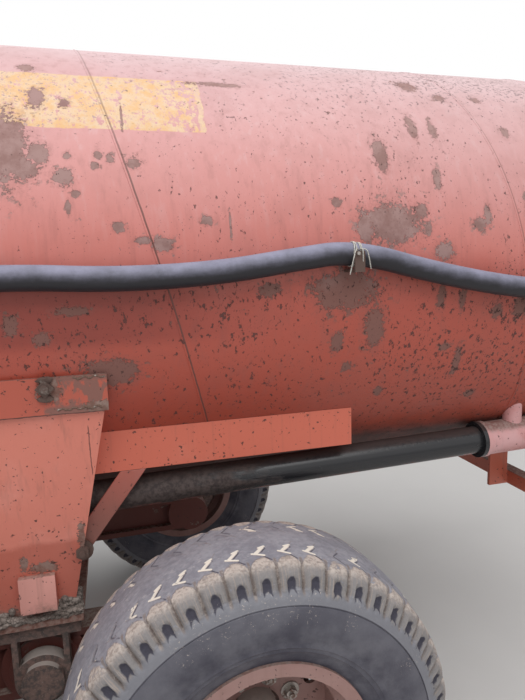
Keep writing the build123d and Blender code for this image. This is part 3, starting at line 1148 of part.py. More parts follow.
hose_hooks = [hose_hook(x) for x in HOOK_XS]

# Everything is written here
save("tank_shell", tank_shell)
save("front_head", front_head)
save("rear_head", rear_head)
save("manhole_neck", manhole_neck)
save("manhole_lid", manhole_lid)
save("cross_saddle", cross_saddle)
save("front_cradles", *front_cradles)
save("bogie_shaft", bogie_shaft)
save("drawbar_frame", drawbar_frame)
save("tow_eye", tow_eye)
save("parking_jack", parking_jack)
save("pump_deck", pump_deck)
save("pump_body", pump_body)
save("pump_shaft", pump_shaft)
save("pressure_pipe", pressure_pipe)
save("suction_pipe", suction_pipe)
save("rear_manifold", rear_manifold)
save("discharge_valve", discharge_valve)
save("discharge_nozzle", discharge_nozzle)
save("ladder", ladder)
save("level_gauge", level_gauge)
save("lamp_bar", lamp_bar)
save("rear_lamps", *lamps)
save("suction_hose", suction_hose)
save("hose_couplings", *couplings)
save("hose_hooks", *hose_hooks)

sided_pieces = (
    ("side_rail", [side_rail]),
    ("saddle", [saddle]),
    ("braces", braces),
    ("pivot_block", [pivot_block]),
    ("balance_beam", [balance_beam]),
    ("stub_axles", [stub_axle(-WHEELBASE / 2, 1), stub_axle(WHEELBASE / 2, -1)]),
)
for name, pieces in sided_pieces:
    save(f"{name}_left", *pieces)
    save(f"{name}_right", *[right_hand(piece) for piece in pieces])

for end, wheel_x in (("front", -WHEELBASE / 2), ("rear", WHEELBASE / 2)):
    wheel_pieces = (
        ("tyre", Pos(wheel_x, -TRACK / 2, WHEEL_RADIUS) * Rot(0, 0, -90) * tyre),
        ("rim", make_rim(wheel_x)),
        ("hub", turned(HUB_PROFILE, wheel_x)),
    )
    for name, piece in wheel_pieces:
        save(f"{name}_{end}_left", piece)
        save(f"{name}_{end}_right", right_hand(piece))
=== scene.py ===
"""Looks of a slurry tanker trailer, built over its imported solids."""

import json
import logging
import math
import random
from collections.abc import Sequence
from dataclasses import dataclass
from enum import Enum
from functools import cached_property, reduce
from typing import NamedTuple

import bmesh
import bpy
import numpy as np
from mathutils import Matrix, Vector


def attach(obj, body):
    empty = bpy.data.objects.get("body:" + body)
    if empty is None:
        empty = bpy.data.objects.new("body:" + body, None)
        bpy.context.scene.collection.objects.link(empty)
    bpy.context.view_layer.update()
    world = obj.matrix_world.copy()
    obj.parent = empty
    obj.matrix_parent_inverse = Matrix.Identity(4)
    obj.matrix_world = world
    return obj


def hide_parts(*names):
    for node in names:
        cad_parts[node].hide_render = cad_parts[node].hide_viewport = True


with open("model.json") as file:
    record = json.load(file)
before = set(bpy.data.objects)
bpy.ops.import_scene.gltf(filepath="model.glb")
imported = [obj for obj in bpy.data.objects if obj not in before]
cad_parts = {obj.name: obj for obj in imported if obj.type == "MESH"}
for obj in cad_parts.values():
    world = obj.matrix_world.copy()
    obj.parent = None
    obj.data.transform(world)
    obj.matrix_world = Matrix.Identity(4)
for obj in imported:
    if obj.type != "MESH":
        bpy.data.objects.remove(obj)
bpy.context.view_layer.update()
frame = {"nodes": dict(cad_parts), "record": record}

log = logging.getLogger("tanker")

Colour = tuple[float, float, float]
Point = tuple[float, float, float]
Spot = tuple[float, float]
Material = bpy.types.Material
Object = bpy.types.Object
Shape = bmesh.types.BMesh

PHOTO_PIXELS = (525, 700)
FULL_TURN = 2 * math.pi
SAME_PLACE = 1e-5
FLAT_BELOW = math.radians(0.4)
ROUNDED_ABOVE = math.radians(35)
X, Y, Z = Vector((1, 0, 0)), Vector((0, 1, 0)), Vector((0, 0, 1))


class Way(Enum):
    """A way from the middle, by its sign on the axis."""

    @property
    def word(self) -> str:
        """The way as node names have it."""
        return self.name.lower()


class Side(Way):
    """The trailer's two sides, by the sign of their Y."""

    LEFT = -1
    RIGHT = 1


class End(Way):
    """The bogie's two ends, by the sign of their X from its pivot."""

    FRONT = -1
    REAR = 1


class Wire:
    """A shader socket's output, with arithmetic on its value."""

    def __init__(self, bench: "Bench", socket: bpy.types.NodeSocket | None) -> None:
        """Keep the socket and the bench that its node is on."""
        self.bench = bench
        self.socket = socket

    def __add__(self, other: "Wire | float") -> "Wire":
        """This value plus other."""
        return self.bench.math("ADD", self, other)

    def __sub__(self, other: "Wire | float") -> "Wire":
        """This value less other."""
        return self.bench.math("SUBTRACT", self, other)

    def __rsub__(self, other: float) -> "Wire":
        """Other less this value."""
        return self.bench.math("SUBTRACT", other, self)

    def __mul__(self, other: "Wire | float") -> "Wire":
        """This value times other."""
        return self.bench.math("MULTIPLY", self, other)

    def __abs__(self) -> "Wire":
        """This value without its sign."""
        return self.bench.math("ABSOLUTE", self)

    __radd__ = __add__
    __rmul__ = __mul__

    def ease(self, start: float, end: float) -> "Wire":
        """A smooth rise from 0 to 1 as this value changes.

        Args:
            start: the value at which it is 0.
            end: the value at which it is 1, which may be the smaller.

        Returns:
            The mask.
        """
        settings = {"interpolation_type": "SMOOTHSTEP"}
        sockets = {"Value": self, "From Min": start, "From Max": end}
        return self.bench.add("ShaderNodeMapRange", settings, sockets)

    def within(self, low: float, high: float, edge: float) -> "Wire":
        """A mask that is 1 from low to high, with soft edges."""
        return self.ease(low - edge, low) * self.ease(high + edge, high)


class Bench:
    """A node tree, the one method that adds nodes to it, and the colour that is painted so far."""

    def __init__(self, tree: bpy.types.NodeTree) -> None:
        """Clear the tree of a material or of the world."""
        self.tree = tree
        self.tree.nodes.clear()
        self.colour: Wire | Colour = (0.0, 0.0, 0.0)

    def add(
        self,
        kind: str,
        settings: dict[str, object] | None = None,
        sockets: dict[int | str, object] | None = None,
        output: int | str = 0,
    ) -> Wire:
        """Add a node.

        Args:
            kind: the node's type.
            settings: its properties.
            sockets: what goes into its inputs, a Wire or a plain value.
            output: the output that is returned.

        Returns:
            The chosen output.
        """
        node = self.tree.nodes.new(kind)
        for name, value in (settings or {}).items():
            setattr(node, name, value)
        for name, value in (sockets or {}).items():
            if isinstance(value, Wire):
                self.tree.links.new(value.socket, node.inputs[name])
            else:
                node.inputs[name].default_value = value
        return Wire(self, node.outputs[output] if node.outputs else None)

    @cached_property
    def place(self) -> Wire:
        """The point on the object, in metres."""
        return self.add("ShaderNodeTexCoord", output="Object")

    @cached_property
    def upward(self) -> Wire:
        """How far the surface faces up, from -1 to 1."""
        return self.axes(self.add("ShaderNodeNewGeometry", output="Normal"))[2]

    def math(self, operation: str, first: Wire | float, second: Wire | float = 0.0) -> Wire:
        """One Math node's value."""
        return self.add("ShaderNodeMath", {"operation": operation}, {0: first, 1: second})

    def vector(
        self, operation: str, first: Wire, second: Wire | Point, output: int | str = 0
    ) -> Wire:
        """One Vector Math node's result."""
        settings = {"operation": operation}
        return self.add("ShaderNodeVectorMath", settings, {0: first, 1: second}, output)

    def length(self, run: Wire) -> Wire:
        """A vector's length."""
        return self.vector("LENGTH", run, (0.0, 0.0, 0.0), "Value")

    def least(self, first: Wire | float, second: Wire | float) -> Wire:
        """The smaller of two values."""
        return self.math("MINIMUM", first, second)

    def most(self, first: Wire | float, second: Wire | float) -> Wire:
        """The larger of two values."""
        return self.math("MAXIMUM", first, second)

    def axes(self, point: Wire | None = None) -> list[Wire]:
        """The X, Y and Z of a point, or of the point on the object."""
        parts = self.add("ShaderNodeSeparateXYZ", None, {0: point or self.place})
        return [Wire(self, output) for output in parts.socket.node.outputs]

    def cloud(
        self,
        scale: float,
        detail: float = 4.0,
        roughness: float = 0.55,
        stretch: Point | None = None,
        point: Wire | None = None,
    ) -> Wire:
        """Soft noise from 0 to 1.

        Args:
            scale: blotches in a metre.
            detail: how many finer layers it has.
            roughness: how strong the finer layers are.
            stretch: what the point is multiplied by, if it is.
            point: where the noise is read, if not at the point on the object.

        Returns:
            The noise.
        """
        point = point or self.place
        if stretch:
            point = self.vector("MULTIPLY", point, stretch)
        sockets = {"Vector": point, "Scale": scale, "Detail": detail, "Roughness": roughness}
        return self.add("ShaderNodeTexNoise", None, sockets)

    def ramp(self, share: Wire, stops: Sequence[tuple[float, Colour]]) -> Wire:
        """A colour that changes with a share.

        Args:
            share: the place on the ramp, from 0 to 1.
            stops: the ramp's places and colours, in order.

        Returns:
            The colour.
        """
        ramp = self.add("ShaderNodeValToRGB", None, {0: share})
        elements = ramp.socket.node.color_ramp.elements
        while len(elements) < len(stops):
            elements.new(1.0)
        for element, (place, colour) in zip(elements, stops):
            element.position = place
            element.color = (*colour, 1.0)
        return ramp

    def blend(self, share: Wire, first: Wire | Colour, second: Wire | Colour) -> Wire:
        """A mix of two colours.

        Args:
            share: how much of the second shows.
            first: the colour below.
            second: the colour above.

        Returns:
            The mixed colour.
        """
        below, above = (c if isinstance(c, Wire) else (*c, 1.0) for c in (first, second))
        return self.add("ShaderNodeMix", {"data_type": "RGBA"}, {0: share, 6: below, 7: above}, 2)

    def lay(self, share: Wire, colour: Wire | Colour) -> None:
        """Paint a colour over the one so far.

        Args:
            share: where the colour lies, and how thick.
            colour: the colour.
        """
        self.colour = self.blend(share, self.colour, colour)

    def coat(
        self,
        roughness: Wire | float,
        height: Wire | None = None,
        depth: float = 0.0,
        metallic: Wire | float = 0.0,
        specular: float = 0.5,
    ) -> None:
        """Finish the material with one surface shader in the colour so far.

        Args:
            roughness: its roughness.
            height: the height of its relief, if it has one.
            depth: how many metres a height of 1 is.
            metallic: its metallic share.
            specular: its specular level.
        """
        sockets: dict[int | str, object] = {
            "Base Color": self.colour,
            "Roughness": roughness,
            "Metallic": metallic,
            "Specular IOR Level": specular,
        }
        if height is not None:
            relief = {"Height": height, "Distance": depth}
            sockets["Normal"] = self.add("ShaderNodeBump", None, relief)
        surface = self.add("ShaderNodeBsdfPrincipled", None, sockets)
        self.add("ShaderNodeOutputMaterial", None, {"Surface": surface})


class Stain(NamedTuple):
    """A patch where the paint is gone, seen from the side."""

    x: float
    z: float
    half_length: float
    half_height: float


class Band(NamedTuple):
    """A painted oblong, seen from the side."""

    x_start: float
    x_end: float
    z_low: float
    z_high: float


class Seam(NamedTuple):
    """A weld round the shell: where it crosses the given height, and how far it leans."""

    x: float
    z: float
    lean: float


class Stroke(NamedTuple):
    """A straight mark with round ends on the tread: its ends, and half its width."""

    u_start: float
    v_start: float
    u_end: float
    v_end: float
    half: float


@dataclass(frozen=True)
class Finish:
    """A finish, which each kind paints in its own way."""

    name: str

    def paint(self, bench: Bench) -> None:
        """Add the finish's nodes.

        Args:
            bench: the bench of the finish's material.
        """
        raise NotImplementedError

    def make(self) -> Material:
        """Make the material.

        Returns:
            The painted material.
        """
        material = bpy.data.materials.new(self.name)
        material.use_nodes = True
        self.paint(Bench(material.node_tree))
        return material


def stain_mask(bench: Bench, stains: Sequence[Stain], ragged: Wire, crumbling: float) -> Wire:
    """A value that is below 1 inside any of the stains.

    Args:
        bench: the material's bench.
        stains: the patches.
        ragged: noise from 0 to 1 that breaks their outlines.
        crumbling: how far finer noise breaks them as well.

    Returns:
        The distance to the nearest patch's middle, over its half size.
    """
    reaches = []
    for stain in stains:
        offset = bench.vector("SUBTRACT", bench.place, (stain.x, 0.0, stain.z))
        scale = (1 / stain.half_length, 0.0, 1 / stain.half_height)
        reaches.append(bench.length(bench.vector("MULTIPLY", offset, scale)))
    grain = bench.cloud(125, 4, 0.6)
    return reduce(bench.least, reaches) + (ragged - 0.5) * 1.9 + (grain - 0.5) * crumbling


@dataclass(frozen=True)
class TankPaint(Finish):
    """Sun-bleached red paint on rolled plate, flecked and peeling, with a yellow band; its ramp by
    height also holds painted light, paler on top and darker below.
    """

    stains: tuple[Stain, ...]
    seams: tuple[Seam, ...]
    band: Band
    # Colours by height: sun fading together with painted light from above, paler on the lit top
    # and darker on the shaded lower side.
    bleach_and_light_shades: tuple[tuple[float, Colour], ...] = (
        (1.12, (0.33, 0.055, 0.030)),
        (1.50, (0.43, 0.078, 0.048)),
        (1.73, (0.45, 0.096, 0.068)),
        (1.83, (0.55, 0.168, 0.138)),
        (2.06, (0.54, 0.218, 0.202)),
        (2.30, (0.53, 0.285, 0.283)),
        (2.46, (0.56, 0.370, 0.378)),
    )
    lowest: float = 1.0
    highest: float = 2.6
    pale: Colour = (0.60, 0.42, 0.42)
    streak: Colour = (0.25, 0.085, 0.070)
    # Painted shadow of the hose on the tank below it.
    hose_shadow_red: Colour = (0.20, 0.032, 0.024)
    yellow: Colour = (0.63, 0.365, 0.135)
    yellow_pale: Colour = (0.62, 0.44, 0.27)
    chip: Colour = (0.33, 0.20, 0.20)
    bare: Colour = (0.245, 0.130, 0.115)
    bare_pale: Colour = (0.330, 0.200, 0.183)
    bare_low: Colour = (0.220, 0.098, 0.080)
    # The colour of the dark line beside each weld bead, which is painted shadow.
    seam: Colour = (0.13, 0.048, 0.038)
    fleck: Colour = (0.060, 0.030, 0.027)
    fleck_high: Colour = (0.27, 0.185, 0.185)
    grime: Colour = (0.07, 0.042, 0.036)

    def _band(self, bench: Bench, fine: Wire) -> None:
        """Paint the yellow band, worn through towards its rear end.

        Args:
            bench: the material's bench.
            fine: noise that its edges follow.
        """
        cloud = bench.cloud
        x, _, z = bench.axes()
        start, end, low, high = self.band
        ends = x + (fine - 0.5) * 0.03
        tall = (z + (fine - 0.5) * 0.014).within(low, high, 0.003)
        band = ends.within(start, end, 0.004) * tall
        chipped = cloud(21, 7, 0.7)
        wear = x.ease(end - 0.17, end - 0.02) * 0.085
        held = (cloud(62, 8, 0.76, (1.0, 1.0, 0.4)) + wear).ease(0.60, 0.55)
        held = held * (chipped - wear * 0.4).ease(0.625, 0.60)
        tone = bench.blend(chipped.ease(0.38, 0.6), self.yellow, self.yellow_pale)
        bench.lay(band * held * 0.93, tone)
        early = x.ease(end - 0.12, end - 0.42) * 0.055
        dots = (cloud(68, 5, 0.68) + early).ease(0.64, 0.665) * band
        bench.lay(dots * 0.85, self.chip)
        bench.lay(ends.within(end - 0.012, end, 0.003) * tall * 0.6, self.yellow_pale)

    def _peeling(self, bench: Bench, soft: Wire, fine: Wire, ragged: Wire) -> Wire:
        """Bare the steel: the photographed patches on the left side, and others elsewhere.

        Args:
            bench: the material's bench.
            soft: noise that crowds the smallest patches.
            fine: noise that mottles the bare steel.
            ragged: noise that breaks the patches' outlines.

        Returns:
            The mask of the bare steel.
        """
        x, y, z = bench.axes()
        left = y.ease(0.05, -0.05)
        reach = stain_mask(bench, self.stains, ragged, 1.7)
        chip = bench.cloud(46, 5, 0.62)
        drawn = reach.ease(1.0, 0.95) * left
        crumbs = reach.ease(2.2, 1.2) * chip.ease(0.585, 0.61) * left
        pictured = x.within(1.0, 2.62, 0.05) * left
        other = bench.cloud(3.1, 10, 0.7).ease(0.655, 0.665) * (1 - pictured)
        rare = (chip + soft.ease(0.46, 0.66) * 0.05).ease(0.70, 0.72)
        peeled = bench.most(bench.most(drawn, crumbs), bench.most(other, rare))
        bench.lay(reach.ease(1.7, 1.0) * left * 0.3, self.streak)
        bare = bench.blend(fine.ease(0.36, 0.62), self.bare, self.bare_pale)
        low = (z + (fine - 0.5) * 0.1).ease(1.83, 1.70)
        bench.lay(peeled, bench.blend(low, bare, self.bare_low))
        # A dark line round the bare patches: painted shadow at the edge of the paint.
        bench.lay(reach.within(0.95, 1.02, 0.03) * left * 0.45, self.fleck)
        return peeled

    def paint(self, bench: Bench) -> None:
        """Paint the fading with painted light by height, the band, the bare patches with painted
        shadow round them, the flecks, the painted shadow beside the seams and the grime.
        """
        cloud, lay = bench.cloud, bench.lay
        x, y, z = bench.axes()
        soft, fine, ragged = cloud(2.2, 5, 0.6), cloud(16, 6, 0.65), cloud(34, 8, 0.7)
        span = self.highest - self.lowest
        stops = [((height - self.lowest) / span, shade) for height, shade in self.bleach_and_light_shades]
        # The height ramp: fading together with painted light from above.
        height = z + (soft - 0.5) * 0.2 + (fine - 0.5) * 0.06
        bench.colour = bench.ramp((height - self.lowest) * (1 / span), stops)
        streak = cloud(1, 5, 0.6, (36.0, 36.0, 1.0))
        lay(streak.ease(0.5, 0.72) * 0.26, self.streak)
        lay(streak.ease(0.47, 0.3) * z.ease(1.6, 2.2) * 0.22, self.pale)
        # Paler towards the rear top: fading together with painted light from above.
        lay(abs(x).ease(1.6, 2.6) * z.ease(1.72, 2.2) * 0.34, self.pale)
        lay(cloud(6.5, 4, 0.6).ease(0.48, 0.66) * 0.13, self.streak)
        # Painted shadow: a darker band on the tank just under the hose.
        painted_hose_shadow = z.within(1.62, 1.76, 0.05) * x.ease(1.8, 1.2) * y.ease(0.05, -0.05)
        lay(painted_hose_shadow * 0.6, self.hose_shadow_red)
        self._band(bench, fine)
        peeled = self._peeling(bench, soft, fine, ragged)

        rearward = abs(x).ease(1.55, 2.15)
        crowd = z.ease(2.2, 2.42) * (0.010 + rearward * 0.050) + z.within(1.2, 1.72, 0.08) * 0.048
        crowd = crowd + soft.ease(0.40, 0.64) * 0.05 + rearward * 0.02
        flecks = (cloud(70, 5, 0.66, (1.1, 1.1, 0.75)) + crowd).ease(0.675, 0.70)
        dust = (cloud(190, 3, 0.55) + crowd * 0.6).ease(0.715, 0.74)
        dark = bench.blend(z.ease(2.15, 2.4), self.fleck, self.fleck_high)
        lay(bench.most(flecks, dust) * 0.82, dark)

        # Painted shadow: a dark line on one side of each weld bead.
        line = 0.0 * x
        for seam in self.seams:
            off = x + z * seam.lean - (seam.x + seam.z * seam.lean) + (fine - 0.5) * 0.005
            line = bench.most(line, off.within(0.0035, 0.0065, 0.0018))
        lay(line * ((0.9 - z.ease(2.0, 2.35) * 0.5) * (1 - x.ease(2.0, 2.3) * 0.45)), self.seam)
        grime = (z + (fine - 0.5) * 0.24).ease(1.28, 1.12)
        lay(grime * 0.8, self.grime)

        rough = 0.42 + peeled * 0.4 + flecks * 0.25 + (fine - 0.5) * 0.14 + grime * 0.2
        relief = cloud(150, 3, 0.5) * 0.06 + cloud(1.5, 2, 0.4) * 5.0
        relief = relief - peeled * 0.5 - flecks * 0.35 + ragged * peeled * 0.25
        bench.coat(rough, relief, 0.0016)


@dataclass(frozen=True)
class FramePaint(Finish):
    """Brushed red paint on plate and section steel, chipped, streaked and dusty."""

    fresh: Colour = (0.50, 0.125, 0.075)
    faded: Colour = (0.58, 0.21, 0.165)
    rust: Colour = (0.16, 0.085, 0.065)
    dust: Colour = (0.29, 0.235, 0.205)
    fleck: Colour = (0.06, 0.03, 0.025)
    fading: float = 0.4
    rusting: float = 0.3
    dusting: float = 0.8
    muddy_below: float = 0.0
    dull_below: float = 0.0
    dull_edge: float = 0.006
    dull: Colour = (0.46, 0.108, 0.070)
    strip_above: float = 9.0
    strip: Colour = (0.44, 0.095, 0.060)
    strip_rust: Colour = (0.215, 0.095, 0.075)
    rusty_beyond: float = 1.06
    crack: Band = Band(1.173, 1.1752, 1.23, 1.365)
    patch: Band | None = None
    patch_out: float = 0.66
    patch_pink: Colour = (0.60, 0.285, 0.245)
    stains: tuple[Stain, ...] = ()

    def _mark(self, bench: Bench, peel: Wire) -> None:
        """Paint the foot, the strip, the painted shadow under the strip, the crack and the patch
        that a bracket has.

        Args:
            bench: the material's bench.
            peel: noise that the edges follow.
        """
        x, y, z = bench.axes()
        wander = peel - 0.5
        edge, top = self.dull_edge, self.strip_above
        foot = (z + wander * 0.05).ease(self.dull_below + edge, self.dull_below - edge)
        bench.lay(foot * 0.7, self.dull)
        strip = z.ease(top - 0.001, top + 0.001)
        bench.lay(strip, self.strip)
        rusty = (x + wander * 0.35).ease(self.rusty_beyond, self.rusty_beyond + 0.03)
        islands = bench.cloud(26, 5, 0.6, (1.0, 1.0, 0.6)).ease(0.47, 0.53)
        kept = islands * z.within(top + 0.028, top + 0.080, 0.012)
        bench.lay(strip * rusty * (1 - kept) * 0.95, self.strip_rust)
        # Painted shadow: a dark line just under the strip's lower edge.
        strip_shadow_line = (z + wander * 0.008).within(top - 0.004, top + 0.001, 0.0015)
        bench.lay(strip_shadow_line * 0.85, self.fleck)
        crack = (x + wander * 0.014).within(self.crack.x_start, self.crack.x_end, 0.0009)
        crack = crack * z.within(self.crack.z_low, self.crack.z_high, 0.012)
        bench.lay(crack * 0.75, self.fleck)
        if self.patch is not None:
            inside = x.within(self.patch.x_start, self.patch.x_end, 0.001)
            inside = inside * z.within(self.patch.z_low, self.patch.z_high, 0.001)
            inside = inside * abs(y).ease(self.patch_out - 0.002, self.patch_out)
            bench.lay(inside * 0.9, self.patch_pink)

    def paint(self, bench: Bench) -> None:
        """Paint the fading, the streaks, the rust, the flecks and the soil."""
        cloud, lay = bench.cloud, bench.lay
        z = bench.axes()[2]
        soft, fine = cloud(3.5, 5, 0.6), cloud(28, 6, 0.65)
        speck, peel = cloud(75, 3, 0.6), cloud(11, 9, 0.7)
        bench.colour = self.fresh
        lay(soft.ease(0.75 - 0.5 * self.fading, 0.95 - 0.5 * self.fading), self.faded)
        if self.dull_below > 0.0:
            self._mark(bench, peel)
        lay(cloud(1, 4, 0.6, (42.0, 42.0, 1.6)).ease(0.52, 0.8) * 0.3, self.rust)
        edge = 0.74 - 0.17 * self.rusting
        peeled = peel.ease(edge, edge + 0.015)
        if self.stains:
            reach = stain_mask(bench, self.stains, peel, 2.2)
            peeled = bench.most(peeled, reach.ease(1.0, 0.92))
        lay(peeled * 0.9, bench.blend(fine.ease(0.4, 0.65), self.rust, self.dust))
        flecks = (speck + soft.ease(0.4, 0.65) * 0.03).ease(0.66, 0.69)
        lay(flecks * 0.85, self.fleck)
        flat = (bench.upward + (fine - 0.5) * 0.5).ease(0.45, 0.8) * self.dusting
        mud = (z + (peel - 0.5) * 0.16).ease(self.muddy_below + 0.02, self.muddy_below - 0.03)
        soil = bench.most(flat, mud * 0.9)
        lay(soil, bench.blend(speck.ease(0.35, 0.65), self.rust, self.dust))
        rough = 0.45 + peeled * 0.35 + soil * 0.4 + (fine - 0.5) * 0.15
        relief = cloud(190, 3, 0.5) * 0.12 - peeled * 0.5 - flecks * 0.4
        bench.coat(rough, relief + soil * (speck * 0.9 + fine * 0.9), 0.0016)


@dataclass(frozen=True)
class CastIron(Finish):
    """Rusty cast iron with dried soil and grease on it."""

    dark: Colour = (0.085, 0.066, 0.060)
    rust: Colour = (0.20, 0.125, 0.105)
    soil: Colour = (0.36, 0.31, 0.28)
    soiled: float = 0.5

    def paint(self, bench: Bench) -> None:
        """Paint the rust, the caked soil and the chips."""
        soft, fine = bench.cloud(9, 6, 0.65), bench.cloud(60, 5, 0.65)
        grain = bench.cloud(240, 3, 0.6)
        bench.colour = self.dark
        bench.lay(fine.ease(0.35, 0.65), self.rust)
        flat = bench.upward.ease(0.4, 0.9) * 0.35
        bare = 0.34 * self.soiled
        caked = (soft + fine * 0.35 + flat).ease(1.02 - bare, 1.12 - bare)
        bench.lay(caked * 0.85, self.soil)
        bench.lay(grain.ease(0.66, 0.7) * 0.6, self.soil)
        bench.coat(0.72 + caked * 0.2, grain * 0.25 + fine * 0.6 + caked * 0.8, 0.0022)


@dataclass(frozen=True)
class BareSteel(Finish):
    """Worn steel, bright on the rubbed places and brown in between."""

    bright: Colour = (0.42, 0.39, 0.36)
    brown: Colour = (0.17, 0.10, 0.075)
    browned: float = 0.5

    def paint(self, bench: Bench) -> None:
        """Paint the rust over the bright steel."""
        fine, grain = bench.cloud(38, 6, 0.68), bench.cloud(260, 3, 0.6)
        kept = 0.3 * self.browned
        rusty = (fine + (grain - 0.5) * 0.2).ease(0.62 - kept, 0.74 - kept)
        bench.colour = self.bright
        bench.lay(rusty, self.brown)
        relief = grain * 0.3 + rusty * 0.5
        bench.coat(0.4 + rusty * 0.45, relief, 0.001, metallic=0.75 - rusty * 0.75)


@dataclass(frozen=True)
class PipePaint(Finish):
    """Black pipe enamel, glossy at the back and flaked to grey-brown further ahead."""

    enamel: Colour = (0.018, 0.018, 0.021)
    flaked: Colour = (0.035, 0.023, 0.022)
    flaked_pale: Colour = (0.085, 0.062, 0.056)
    red: Colour = (0.34, 0.09, 0.07)
    flaked_to: float = 1.62

    def paint(self, bench: Bench) -> None:
        """Paint the flaking, the red that shows beneath, and the dust on top."""
        x = bench.axes()[0]
        flow, fine = bench.cloud(34, 7, 0.68, (0.35, 1.0, 1.0)), bench.cloud(70, 5, 0.65)
        turn = (x + (flow - 0.5) * 0.9).ease(self.flaked_to + 0.12, self.flaked_to - 0.12)
        flakes = bench.most(turn, flow.ease(0.66, 0.69))
        bench.colour = self.enamel
        bench.lay(flakes, bench.blend(fine.ease(0.35, 0.65), self.flaked, self.flaked_pale))
        under = (bench.upward + (flow - 0.5) * 0.8).ease(-0.55, -0.8)
        bench.lay(under * flow.ease(0.52, 0.58), self.red)
        top = (bench.upward + (fine - 0.5) * 0.6).ease(0.55, 0.95) * 0.55
        bench.lay(top, self.flaked_pale)
        bench.coat(0.26 + flakes * 0.5 + top * 0.3, flakes * (0.4 + fine * 0.6), 0.0018)


